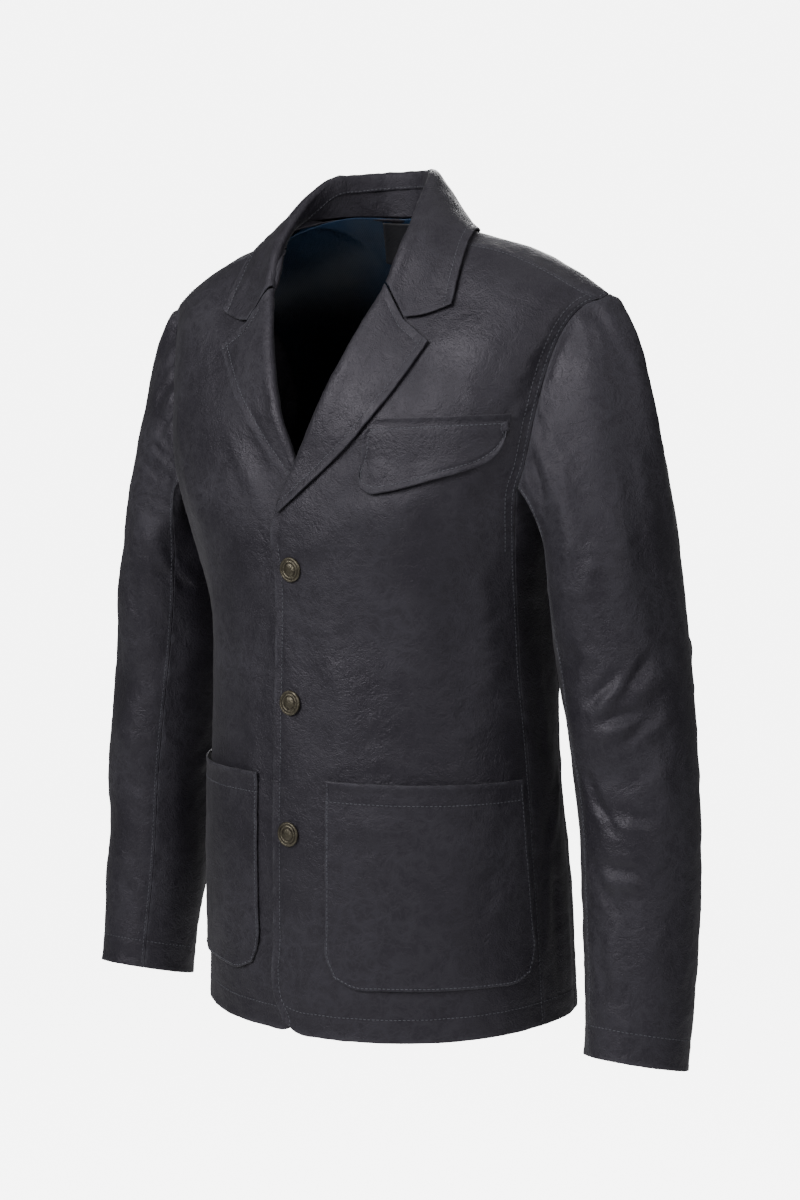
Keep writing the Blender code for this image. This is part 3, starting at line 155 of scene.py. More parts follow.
PANELS = (
    Panel("front_left", 20, 9, 0, (-0.00738, -0.11186, -0.67455), (0.00637, -0.11190, -0.68218),
          EDGE, SEAM, EDGE, SEAM, "body", (0.252, 0.710), 0.1434),
    Panel("front_right", 20, 9, 0, (0.00725, -0.10846, -0.67456), (-0.00626, -0.10850, -0.68218),
          EDGE, SEAM, EDGE, SEAM, "body", (0.251, 0.708), 0.1428),
    Panel("side_left", 11, 5, 0, (0.16838, 0.02434, -0.68062), (0.16952, 0.03976, -0.68058),
          SEAM, SEAM, EDGE, SEAM, "body", (0.131, 0.465), 0.0321),
    Panel("side_right", 11, 5, 0, (-0.16838, 0.02434, -0.68062), (-0.16952, 0.03976, -0.68058),
          SEAM, SEAM, EDGE, SEAM, "body", (0.131, 0.465), 0.0321),
    Panel("back_left", 20, 11, 0, (0.00042, 0.16008, -0.68358), (0.02435, 0.15935, -0.68353),
          SEAM, SEAM, EDGE, SEAM, "body", (0.289, 0.783), 0.1428),
    Panel("back_right", 20, 11, 0, (-0.00042, 0.16008, -0.68358), (-0.02435, 0.15935, -0.68353),
          SEAM, SEAM, EDGE, SEAM, "body", (0.289, 0.783), 0.1428),
    Panel("lapel_left", 8, 8, 0, (-0.01542, -0.10720, -0.24394), (-0.01608, -0.10756, -0.24357),
          TURN, EDGE, TUCK, EDGE, "body", (0.078, 0.209), 0.0097),
    Panel("lapel_right", 8, 8, 0, (0.00778, -0.09672, -0.23013), (0.00845, -0.09713, -0.22932),
          TURN, EDGE, TUCK, EDGE, "body", (0.077, 0.191), 0.0080),
    Panel("patch_pocket_left", 8, 9, 0, (0.04541, -0.10981, -0.63039), (0.06230, -0.10516, -0.63794),
          EDGE, EDGE, EDGE, EDGE, "body", (0.191, 0.173), 0.0310),
    Panel("patch_pocket_right", 8, 9, 0, (-0.04485, -0.10734, -0.63039), (-0.06207, -0.10446, -0.63794),
          EDGE, EDGE, EDGE, EDGE, "body", (0.191, 0.173), 0.0310),
    Panel("chest_welt", 2, 11, 0, (0.06604, -0.09745, -0.17990), (0.06990, -0.09694, -0.17983),
          TUCK, TUCK, TUCK, TUCK, "body", (0.124, 0.016), 0.0013),
    Panel("chest_flap", 5, 11, 0, (0.06580, -0.10233, -0.21186), (0.06795, -0.10404, -0.22290),
          EDGE, EDGE, EDGE, TUCK, "body", (0.154, 0.049), 0.0046),
    Panel("top_sleeve_left", 15, 16, 0, (0.18038, 0.09003, -0.15563), (0.18148, 0.08405, -0.12980),
          SEAM, SEAM, SEAM, EDGE, "sleeve_left", (0.317, 0.641), 0.1241),
    Panel("top_sleeve_right", 15, 16, 0, (-0.18038, 0.09003, -0.15563), (-0.18148, 0.08405, -0.12980),
          SEAM, SEAM, SEAM, EDGE, "sleeve_right", (0.317, 0.641), 0.1241),
    Panel("under_sleeve_left", 15, 8, 0, (0.17782, -0.03977, -0.22448), (0.18492, -0.00910, -0.23729),
          SEAM, SEAM, SEAM, EDGE, "sleeve_left", (0.200, 0.562), 0.0612),
    Panel("under_sleeve_right", 15, 8, 0, (-0.17782, -0.03978, -0.22449), (-0.18488, -0.00912, -0.23731),
          SEAM, SEAM, SEAM, EDGE, "sleeve_right", (0.200, 0.562), 0.0612),
    Panel("collar_leaf", 21, 9, 0, (-0.06001, -0.05159, -0.06061), (-0.05861, -0.05245, -0.05843),
          TURN, EDGE, EDGE, EDGE, "collar", (0.085, 0.474), 0.0301),
    Panel("collar_stand", 19, 3, 0, (-0.06442, -0.04279, -0.04108), (-0.06397, -0.04465, -0.04418),
          TUCK, TUCK, TUCK, TUCK, "collar", (0.034, 0.354), 0.0061),
    Panel("back_lining", 13, 17, 8, (-0.13270, 0.08994, -0.38317), (-0.12251, 0.09930, -0.38316),
          TUCK, TUCK, EDGE, TUCK, "lining", (0.517, 0.471), 0.1453),
    Panel("neck_label", 0, 0, 0, (), (),
          TUCK, TUCK, TUCK, TUCK, "lining", (0.046, 0.056), 0.0025),
)


# The creases in each cloth, in millimetres: where one starts (x, y, z), where it ends (x, y, z),
# half its width, and its height, below zero for a hollow.
FOLDS = {
    "sleeve_left": (
        (220, 3, -83, 237, -1, -115, 3, 0.73), (212, -2, -86, 225, -8, -114, 3, 0.65),
        (228, 9, -80, 248, 9, -114, 3, 0.81), (234, 14, -83, 255, 19, -120, 3.2, 0.73),
        (204, -10, -98, 216, -15, -123, 3, 0.48), (227, 5, -88, 242, -2, -131, 2.5, -0.56),
        (232, 15, -78, 250, 15, -110, 2.2, -0.56), (249, 12, -111, 262, 16, -147, 4, 0.73),
        (224, -7, -110, 248, -21, -208, 13, 1.77), (248, -21, -208, 276, -14, -342, 12, 1.77),
        (266, 15, -169, 279, 26, -281, 9, -1.21), (215, -37, -209, 233, -42, -279, 9, 1.29),
        (211, -40, -232, 202, -37, -201, 5, 1.13), (226, -39, -232, 215, -37, -209, 4, 0.81),
        (200, -34, -185, 227, -33, -208, 6, 1.21), (199, -29, -161, 187, -37, -197, 7, -0.96),
        (243, -37, -255, 233, -42, -295, 7, -1.05), (251, -34, -279, 270, -19, -318, 8, 0.96),
        (199, -26, -302, 214, -33, -333, 7, 0.81), (243, -33, -391, 267, -25, -367, 5, -2.42),
        (248, -34, -403, 273, -20, -367, 5.5, 2.57), (268, -25, -382, 282, -7, -355, 5, -2.42),
        (274, -21, -390, 290, 9, -366, 7, 1.77), (252, -33, -408, 278, -16, -399, 4.5, -2.09),
        (252, -34, -418, 278, -16, -409, 6, 1.94), (268, -26, -423, 286, -6, -403, 5, -1.77),
        (279, -17, -423, 294, 8, -401, 7, 1.46), (239, -35, -355, 226, -29, -392, 6, 1.21),
        (230, -35, -343, 251, -32, -365, 6, 0.96), (234, -26, -449, 248, -26, -477, 4.5, -1.77),
        (245, -26, -472, 264, -27, -496, 4.5, -2.26), (248, -26, -464, 281, -19, -469, 8, 1.29),
        (252, -26, -486, 282, -20, -493, 5, 1.61), (260, -27, -486, 291, -13, -484, 5, -1.29),
        (280, -19, -465, 296, -1, -446, 8, 1.46), (292, -7, -446, 300, 0, -494, 9, 1.13),
        (247, -27, -522, 282, -20, -527, 5, -1.94), (253, -27, -539, 283, -19, -537, 6, 1.94),
        (249, -27, -536, 266, -27, -563, 4.5, -1.94), (235, -22, -515, 249, -27, -536, 5, -1.13),
        (279, -22, -527, 289, -16, -541, 4, -1.13), (261, -28, -575, 271, -31, -622, 7, 1.13),
        (282, -20, -550, 298, -15, -630, 12, 1.05), (248, -27, -582, 257, -31, -632, 5, -0.81),
        (275, -30, -630, 282, -31, -661, 5, 0.65), (254, 88, -335, 281, 65, -360, 6, 1.94),
        (251, 89, -350, 282, 66, -374, 5, -1.77), (249, 88, -372, 277, 71, -380, 6, 1.77),
        (228, 92, -345, 198, 76, -330, 6, 1.46), (243, 88, -395, 273, 76, -405, 6, -1.46),
        (251, 85, -412, 279, 71, -420, 7, 1.46), (191, 53, -350, 187, 19, -365, 6, 1.77),
        (191, 49, -365, 191, 14, -384, 5, -1.61), (192, 45, -385, 194, 9, -392, 6, 1.46),
        (280, 71, -470, 296, 51, -455, 7, 1.29), (279, 70, -500, 299, 52, -520, 7, -1.13),
        (246, 77, -480, 225, 63, -500, 7, 1.21), (210, 50, -470, 203, 21, -460, 6, 1.29),
        (211, 41, -500, 211, 15, -520, 6, -1.13), (286, 66, -560, 271, 64, -620, 9, 0.88),
        (219, 46, -560, 220, 23, -630, 8, 0.88), (245, 67, -180, 258, 80, -270, 12, 1.46),
        (219, 88, -190, 223, 98, -280, 10, -0.96), (197, 89, -240, 202, 84, -310, 8, 1.13),
        (218, 73, -140, 223, 83, -175, 4, 0.73), (224, 63, -125, 233, 72, -165, 4, 0.73),
        (207, 82, -150, 211, 90, -185, 4, 0.65),
    ),
    "sleeve_right": (
        (-224, -31, -196, -189, -38, -217, 4, 1.29), (-227, -33, -210, -203, -38, -224, 3.5, -1.13),
        (-221, -29, -181, -195, -37, -201, 4, 1.05), (-254, -22, -237, -203, -39, -262, 5, -1.46),
        (-230, -39, -252, -203, -33, -299, 7, 1.77), (-203, -33, -299, -188, -5, -320, 5, 1.77),
        (-208, -34, -312, -188, -2, -329, 4, -1.61), (-233, -41, -268, -215, -39, -308, 4, 1.13),
        (-238, -39, -305, -232, -33, -373, 5, -0.96), (-251, -35, -337, -217, -25, -382, 6, 1.13),
        (-221, -34, -345, -198, -5, -374, 6, -0.96), (-250, -30, -431, -216, -6, -487, 7, 0.96),
        (-266, -28, -498, -227, -16, -524, 7, -0.96), (-252, -31, -468, -220, -16, -463, 6, 0.81),
        (-264, -28, -574, -236, -21, -619, 7, 0.88), (-225, -12, -125, -200, -33, -181, 6, -0.81),
        (-236, 1, -108, -191, -35, -190, 5, 0.73), (-288, 28, -335, -286, -1, -360, 6, 1.94),
        (-289, 33, -350, -288, 1, -374, 5, -1.77), (-285, 56, -360, -265, 81, -345, 6, 1.77),
        (-286, 59, -378, -263, 82, -366, 5, -1.46), (-256, 86, -350, -226, 88, -362, 6, 1.61),
        (-254, 87, -368, -225, 85, -384, 5, -1.46), (-219, 82, -375, -197, 61, -360, 6, 1.46),
        (-191, 53, -350, -187, 19, -365, 6, 1.61), (-192, 49, -368, -192, 14, -386, 5, -1.46),
        (-303, 25, -455, -293, -5, -440, 7, 1.29), (-304, 29, -475, -300, -1, -492, 6, -1.21),
        (-298, 50, -470, -282, 70, -485, 7, 1.29), (-275, 72, -500, -246, 76, -485, 7, -1.05),
        (-235, 75, -470, -217, 57, -490, 7, 1.13), (-208, 42, -480, -209, 16, -500, 6, 1.05),
        (-307, 30, -560, -304, 34, -630, 9, 0.88), (-286, 66, -560, -279, 58, -640, 9, -0.73),
        (-236, 65, -570, -234, 49, -640, 8, 0.81), (-263, 37, -180, -276, 48, -270, 12, 1.61),
        (-247, 68, -190, -259, 80, -280, 10, -0.96), (-220, 90, -200, -224, 97, -290, 9, 1.13),
        (-241, 42, -120, -257, 41, -165, 4, 0.73), (-252, 28, -125, -268, 24, -170, 4, 0.73),
        (-232, 52, -120, -246, 57, -160, 4, 0.65), (-225, 64, -130, -234, 73, -170, 4, 0.65),
        (-215, 77, -145, -218, 86, -180, 4, 0.65),
    ),
    "body": (
        (-34, -103, -245, -77, -92, -179, 8, 1.3), (-25, -97, -212, -61, -92, -154, 3.5, 0.8),
        (29, -106, -317, 52, -103, -415, 14, 1.4), (52, -103, -415, 43, -106, -465, 12, 1),
        (10, -108, -285, 40, -106, -259, 9, 1.2), (40, -106, -259, 76, -101, -234, 10, 1.2),
        (171, -55, -209, 149, -65, -249, 9, -1.2), (170, -46, -233, 159, -37, -283, 7, 1.2),
        (157, -40, -282, 153, -18, -350, 8, -1), (139, -50, -315, 149, -20, -400, 14, 1.2),
        (142, -39, -349, 158, -12, -327, 5, 0.8), (143, -33, -399, 155, -6, -374, 6, -0.8),
        (113, -83, -282, 119, -64, -364, 18, 1), (-73, -98, -289, -49, -101, -424, 10, 0.9),
        (-49, -101, -424, -34, -106, -576, 9, 0.9), (-27, -104, -287, -35, -103, -405, 3, -0.5),
        (82, -78, -121, 141, -53, -98, 14, 1), (115, -43, -65, 178, -38, -98, 14, -0.8),
        (173, -52, -153, 188, -31, -106, 9, 1), (179, -46, -169, 186, -35, -153, 5, 0.9),
        (-155, -66, -154, -125, -81, -257, 8, 0.9), (51, -108, -505, 98, -90, -503, 9, 1),
        (59, -106, -496, 83, -98, -528, 6, -0.8), (98, -90, -511, 130, -64, -545, 8, -1),
        (111, -81, -503, 145, -43, -530, 8, 1), (146, -44, -555, 160, -12, -525, 6, -0.9),
        (151, -36, -581, 162, -7, -551, 7, 1.2), (124, -70, -536, 141, -51, -546, 4, 0.7),
        (67, -103, -613, 98, -90, -561, 9, 0.9), (151, -30, -491, 160, -6, -498, 4, 0.8),
        (-80, -99, -548, -52, -106, -492, 7, 0.8), (-74, -101, -608, -46, -107, -568, 6, -0.7),
        (39, -108, -676, 57, -104, -648, 6, 0.7), (122, -67, -671, 130, -57, -649, 7, -0.7),
        (153, -24, -672, 155, -19, -647, 6, 0.7), (159, 59, -468, 166, 32, -532, 5, 1.8),
        (166, 32, -532, 167, 27, -626, 5, 1.6), (162, 14, -487, 165, 17, -572, 3, -1),
        (168, 41, -559, 169, 46, -656, 5, -1.4), (167, 58, -580, 168, 66, -660, 5, 1.2),
        (162, 31, -455, 161, 25, -429, 4, -1), (160, 26, -370, 161, 37, -439, 5, 1),
        (-42, 135, -120, -31, 146, -230, 16, 1.8), (43, 137, -130, 29, 146, -240, 16, 1.8),
        (-78, 142, -190, -45, 142, -270, 10, -1.4), (76, 142, -200, 49, 141, -280, 10, -1.3),
        (-100, 134, -260, -48, 133, -350, 9, 1.6), (101, 134, -255, 54, 132, -345, 9, 1.7),
        (-19, 137, -330, -28, 144, -520, 14, 1.4), (19, 135, -350, 28, 141, -500, 14, 1.3),
        (-57, 129, -380, -77, 144, -560, 12, 1.3), (57, 129, -400, 72, 145, -560, 12, 1.2),
        (-5, 134, -420, -13, 155, -600, 10, -1), (-84, 123, -420, -112, 138, -620, 8, -1.1),
        (89, 122, -420, 116, 135, -620, 8, -1.1), (-43, 148, -560, -51, 156, -660, 12, 1),
        (38, 146, -540, 46, 156, -650, 12, 1.1), (-13, 126, -80, 9, 117, -60, 8, 0.9),
        (-166, 42, -300, -155, 63, -420, 6, 1.4), (-160, 7, -330, -160, 19, -440, 6, 1.1),
        (-153, 71, -450, -160, 82, -600, 7, 1.5), (-144, 88, -480, -153, 98, -620, 6, -1.1),
        (-152, -14, -400, -157, -9, -520, 7, 0.9), (151, 79, -480, 156, 93, -620, 6, -1),
    ),
    "collar": (
        (-47.9, 27.4, 44, -48.6, 28.3, 29, 3.5, 1.3), (-25.5, 51.6, 46, -27.5, 54, 29, 3, 1.2),
        (-37, 42, 45, -34, 46, 29, 5, -1), (0, 64, 45, -6, 65, 29, 4, 1.1),
        (20, 58, 45, 14, 61, 30, 5, -0.9), (76, -1, 12, 88, -40, -40, 12, 0.8),
        (73, -54, -72, 98, -33, -36, 7, 0.7), (100, -14, -14, 100, -51, -73, 8, -0.7),
        (-90, -23, -15, -89, -46, -55, 4, 0.8), (-101, -48, -68, -83, -40, -35, 4, -0.8),
    ),
}


class StitchRow(NamedTuple):
    """A row of topstitching: the side of a panel that it follows, how far in from it, and the
    share of that side where it starts and ends."""
    node: str
    side: str
    inset: float
    start: float
    end: float


STITCH_ROWS = (
    StitchRow("front_*", "first", 0.0075, 0.0, 0.58),
    StitchRow("front_*", "bottom", 0.0200, 0.05, 1.0),
    StitchRow("front_*", "last", 0.0022, 0.0, 1.0),
    StitchRow("front_*", "last", 0.0085, 0.64, 1.0),
    StitchRow("front_*", "top", 0.0022, 0.0, 1.0),
    StitchRow("side_*", "bottom", 0.0200, 0.0, 1.0),
    StitchRow("back_*", "bottom", 0.0200, 0.0, 1.0),
    StitchRow("back_*", "first", 0.0022, 0.0, 1.0),
    StitchRow("back_*", "last", 0.0022, 0.0, 1.0),
    StitchRow("lapel_*", "last", 0.0070, 0.0, 1.0),
    StitchRow("lapel_*", "top", 0.0070, 0.3, 1.0),
    StitchRow("patch_pocket_*", "first", 0.0020, 0.0, 1.0),
    StitchRow("patch_pocket_*", "last", 0.0020, 0.0, 1.0),
    StitchRow("patch_pocket_*", "bottom", 0.0020, 0.0, 1.0),
    StitchRow("patch_pocket_*", "top", 0.0170, 0.0, 1.0),
    StitchRow("chest_flap", "first", 0.0060, 0.0, 1.0),
    StitchRow("chest_flap", "last", 0.0060, 0.0, 1.0),
    StitchRow("chest_flap", "bottom", 0.0060, 0.0, 1.0),
    StitchRow("chest_flap", "top", 0.0016, 0.0, 1.0),
    StitchRow("top_sleeve_*", "top", 0.0250, 0.0, 1.0),
    StitchRow("under_sleeve_*", "top", 0.0250, 0.0, 1.0),
    StitchRow("top_sleeve_*", "last", 0.0022, 0.0, 1.0),
    StitchRow("collar_leaf", "last", 0.0070, 0.0, 1.0),
    StitchRow("collar_leaf", "first", 0.0016, 0.1, 0.9),
)


# ---------------------------------------------------------------- reading a panel's grid
def welded(name):
    """Points and triangles of a CAD node, with points that meet made one."""
    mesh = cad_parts[name].data
    loose = np.empty(len(mesh.vertices) * 3)
    mesh.vertices.foreach_get("co", loose)
    points, index = np.unique(np.round(loose.reshape(-1, 3), 6), axis=0, return_inverse=True)
    index = index.reshape(-1)
    triangles = [tuple(int(index[v]) for v in face.vertices) for face in mesh.polygons]
    return points, triangles


def panel_grid(panel):
    """The outer points of a panel in rows and columns, and 1 or -1 for which way they turn."""
    points, triangles = welded(panel.node)
    by_edge = {}
    for triangle in triangles:
        for k in range(3):
            pair = frozenset((triangle[k], triangle[k - 1]))
            by_edge.setdefault(pair, []).append(triangle)

    def nearest(place):
        return int(np.argmin(np.linalg.norm(points - np.array(place), axis=1)))

    def apexes(a, b):
        return [v for t in by_edge[frozenset((a, b))] for v in t if v not in (a, b)]

    def other(a, b, known):
        return next(v for v in apexes(a, b) if v != known)

    corner, beside = nearest(panel.corner), nearest(panel.beside)
    middle = (points[corner] + points[beside]) / 2
    upper = max(apexes(corner, beside), key=lambda v: np.linalg.norm(points[v] - middle))
    lines = [[corner, beside]]
    for row in range(panel.rows - 1):
        low = lines[-1]
        if panel.turned:
            high = [upper, other(low[1], upper, low[0])]
            known = high[0]
        else:
            high = [other(low[0], upper, low[1]), upper]
            known = low[0]
        for column in range(1, panel.columns - 1):
            apex = other(low[column], high[column], known)
            if column < panel.turned:
                right, above = apex, other(apex, high[column], low[column])
                known = high[column]
            else:
                right, above = other(low[column], apex, high[column]), apex
                known = low[column]
            if row == 0:
                low.append(right)
            high.append(above)
        lines.append(high)
        if row < panel.rows - 2:
            known = low[1] if panel.turned else low[0]
            upper = other(high[0], high[1], known)
    grid = points[np.array(lines)]
    first = next(t for t in by_edge[frozenset((corner, beside))] if set(t) & set(lines[1][:2]))
    a, b, c = points[list(first)]
    across, along = grid[0, 1] - grid[0, 0], grid[1, 0] - grid[0, 0]
    facing = np.dot(np.cross(b - a, c - a), np.cross(across, along))
    return grid, 1.0 if facing > 0 else -1.0


def smooth_weights(knots, places, kinks=()):
    """Weights that read a smooth curve through values at the knots, at each of the places. The
    curve may turn sharply at the knots whose numbers are in kinks."""
    count = len(knots)
    steps = np.diff(knots)
    slopes = np.zeros((count, count))
    rise = np.zeros((count - 1, count))
    for i in range(count - 1):
        rise[i, i], rise[i, i + 1] = -1 / steps[i], 1 / steps[i]
    slopes[0], slopes[-1] = rise[0], rise[-1]
    for i in range(1, count - 1):
        share = steps[i] / (steps[i] + steps[i - 1])
        slopes[i] = share * rise[i - 1] + (1 - share) * rise[i]
    weights = np.zeros((len(places), count))
    for j, place in enumerate(places):
        i = min(max(int(np.searchsorted(knots, place, "right")) - 1, 0), count - 2)
        h = steps[i]
        t = (place - knots[i]) / h
        weights[j, i] += 2 * t ** 3 - 3 * t ** 2 + 1
        weights[j, i + 1] += 3 * t ** 2 - 2 * t ** 3
        weights[j] += h * (t ** 3 - 2 * t ** 2 + t) * (rise[i] if i in kinks else slopes[i])
        weights[j] += h * (t ** 3 - t ** 2) * (rise[i] if i + 1 in kinks else slopes[i + 1])
    return weights


KINKS = {"collar_leaf": (9,), "lapel_left": (5,), "lapel_right": (5,)}    # columns at a sharp turn
SIDE_LINES = {                  # the fine grid has lines of its own this far in from a side
    EDGE: (0.0008, 0.0035, 0.0055, 0.0070, 0.0085),
    SEAM: (0.0008, 0.0022, 0.0045),
    TUCK: (0.0008,),
    TURN: (0.0008,),
}
LINE_SPACE = 0.0009             # and no other line this close to them
NO_LENGTH, NO_AREA = 1e-9, 1e-12        # the least that anything is divided by


def fine_places(lengths, cell, low_side, high_side):
    """Places for the lines of a fine grid, closer together beside its two ends."""
    knots = np.concatenate(([0.0], np.cumsum(lengths)))
    places = []
    for i, length in enumerate(lengths):
        count = max(2, math.ceil(length / cell))
        places += [knots[i] + length * k / count for k in range(count)]
    places.append(knots[-1])
    reach = knots[-1] / 2
    extra = [x for x in SIDE_LINES[low_side] if x < reach]
    extra += [knots[-1] - x for x in SIDE_LINES[high_side] if x < reach]
    kept = [p for p in places if all(abs(p - x) > LINE_SPACE for x in extra)]
    kept = sorted(set(kept + extra + [0.0, knots[-1]]))
    return knots, kept


def fine_grid(grid, cell, panel):
    """A smooth fine grid through the points of a coarse one."""
    row_lengths = np.linalg.norm(np.diff(grid, axis=0), axis=2).mean(axis=1)
    column_lengths = np.linalg.norm(np.diff(grid, axis=1), axis=2).mean(axis=0)
    knots, places = fine_places(row_lengths, cell, panel.bottom, panel.top)
    by_row = smooth_weights(knots, places)
    knots, places = fine_places(column_lengths, cell, panel.first, panel.last)
    by_column = smooth_weights(knots, places, KINKS.get(panel.node, ()))
    return np.einsum("ri,cj,ijx->rcx", by_row, by_column, grid)


def grid_normals(grid, sign):
    """Unit normals of a fine grid."""
    cross = np.cross(np.gradient(grid, axis=1), np.gradient(grid, axis=0)) * sign
    return cross / np.maximum(np.linalg.norm(cross, axis=2, keepdims=True), NO_AREA)


def side_distances(grid):
    """Distance of each point of a grid from its four sides, along its rows and columns."""
    across = np.linalg.norm(np.diff(grid, axis=1), axis=2)
    across = np.concatenate((np.zeros((len(grid), 1)), np.cumsum(across, axis=1)), axis=1)
    along = np.linalg.norm(np.diff(grid, axis=0), axis=2)
    along = np.concatenate((np.zeros((1, grid.shape[1])), np.cumsum(along, axis=0)), axis=0)
    return {"first": across, "last": across[:, -1:] - across,
            "bottom": along, "top": along[-1:] - along}


def side_line(grid, side):
    """The points of one side of a grid."""
    return {"first": grid[:, 0], "last": grid[:, -1], "bottom": grid[0], "top": grid[-1]}[side]


def side_points(grid, side):
    """The nearest point of one side for each point of a grid, along its row or column."""
    line = side_line(grid, side)
    line = line[:, None] if side in ("first", "last") else line[None]
    return np.broadcast_to(line, grid.shape)


def run_along(points):
    """How far along a line each of its points is."""
    steps = np.linalg.norm(np.diff(points, axis=0), axis=1)
    return np.concatenate(([0], np.cumsum(steps)))


# ---------------------------------------------------------------- shaping the cloth
def field(points, scale, offset):
    """Smooth noise between about -1 and 1 at each point, its lumps 1 / scale across."""
    flat = points.reshape(-1, 3) * scale + np.array(offset)
    values = [noise.noise(Vector(p), noise_basis="PERLIN_ORIGINAL") for p in flat.tolist()]
    return np.array(values).reshape(points.shape[:-1])


CREASE_LEVEL, CREASE_DEPTH = 0.5, 1.4   # height of the crests, and the depth between them
CREASE_BLUNT = 0.004                    # keeps a crest from being a knife edge


def creases(points, scale, offset):
    """Noise with sharp crests, as cloth that has been crushed keeps."""
    depth = np.sqrt(np.abs(field(points, scale, offset)) + CREASE_BLUNT)
    return CREASE_LEVEL - depth * CREASE_DEPTH


MILLIMETRE = 0.001
HOLLOW_DEPTH = 0.35             # beside a fold the cloth dips by this share of its height,
HOLLOW_PLACE = 1.8              # this many half widths from its crest,
HOLLOW_NARROW = 1.2             # and over this much less than its width
FOLD_FADE = 0.75                # share of its height that a fold loses towards its ends


def fold_heights(points, cloth):
    """Height of the folds of one cloth at each point."""
    height = np.zeros(points.shape[:-1])
    for row in FOLDS.get(cloth, ()):
        *ends, width, rise = np.array(row) * MILLIMETRE
        start, end = np.array(ends[:3]), np.array(ends[3:])
        run = end - start
        length = np.linalg.norm(run)
        t = np.clip(((points - start) @ run) / length ** 2, 0, 1)
        nearest = start + t[..., None] * run
        d = np.linalg.norm(points - nearest, axis=-1) / width
        hollow = np.exp(-HOLLOW_NARROW * (d - HOLLOW_PLACE) ** 2)
        crest = np.exp(-d ** 2) - HOLLOW_DEPTH * hollow
        fade = 1 - np.abs(2 * t - 1) ** 3 * FOLD_FADE
        height += rise * crest * fade
    return height


class Crumple(NamedTuple):
    """One size of the broad creasing: how fine it is, its share of the height on the body and
    on the rest, and its offset."""
    fineness: float
    body_share: float
    share: float
    offset: tuple


class Pucker(NamedTuple):
    """The puckers along a seam: their share of the usual height, how fine they are, how far in
    they reach, and how far in they start."""
    share: float
    fineness: float
    reach: float
    start: float


class Ridge(NamedTuple):
    """A rounded ridge along a side: its height, how far in it lies and half its width."""
    height: float
    inset: float
    width: float


CRUMPLES = (Crumple(26, 0.8, 1.0, (3.1, 7.7, 1.9)), Crumple(61, 0.60, 0.60, (8.3, 2.4, 5.5)))
CHEST_CALM = 0.3                # share of folds and creases that the chest pocket keeps
SEAM_FADE = 0.005               # folds and creases fade out this close to a seam
VALLEY_WIDTH = 0.0045           # half the width of a seam's valley
SEAM_PUCKER = Pucker(1.0, 105, 0.011, 0.0022)
HEAD_PUCKER = Pucker(12.0, 66, 0.027, 0.005)            # at the head of a sleeve
RIPPLE_OFFSET = (1.7, 9.2, 4.4)
SWELL_SHARE, SWELL_FINENESS, SWELL_OFFSET = 0.6, 38, (6.1, 0.3, 2.2)    # the broader puckers
EDGE_RIPPLE = Ridge(0.6, 0.004, 0.005)                  # its height is a share of the puckers'
EDGE_RIPPLE_FINENESS, EDGE_RIPPLE_OFFSET = 120, (5.7, 3.2, 8.4)
EDGE_ROLL = Ridge(0.0004, 0.0015, 0.003)
POCKET_ROLL = EDGE_ROLL._replace(height=0.0010)         # at a patch pocket's mouth
FLAP_ROLL = Ridge(0.0011, 0.0012, 0.0017)
WELT_ROLL = Ridge(0.0012, 0.0, 0.0028)
SNAP_BUMP = ((0.0828, -0.0993, -0.2095), 0.0078, 0.0008)    # place, radius and height
SNAP_BUMP_EDGE = 12             # how steep its edge is
STITCH_GROOVE = 0.00045         # how deep a row of stitches draws the cloth in
STITCH_HALF_WIDTH = 0.0015      # half the width of its groove
GROOVE_INSET = 0.004            # rows of stitches further in than this lie in a groove


def away_from(d, width):
    """A share that grows from 0 at a side to 1 well inside it."""
    return 1 - np.exp(-(d / width) ** 2)


def ridge_height(ridge, d):
    """Height of a ridge at distances from its side."""
    return ridge.height * np.exp(-((d - ridge.inset) / ridge.width) ** 2)


def seam_height(panel, grid, side, d, sizes):
    """The valley of a seam and the puckers beside it."""
    head = panel.folds.startswith("sleeve") and side == "bottom"
    pucker = HEAD_PUCKER if head else SEAM_PUCKER
    line = side_points(grid, side)
    ripple = field(line, pucker.fineness, RIPPLE_OFFSET)
    swell = field(line, SWELL_FINENESS, SWELL_OFFSET)
    puckers = (ripple + SWELL_SHARE * swell) * np.exp(-(d / pucker.reach) ** 2)
    valley = sizes.seam_valley * np.exp(-(d / VALLEY_WIDTH) ** 2)
    return valley, sizes.pucker * pucker.share * puckers * away_from(d, pucker.start)


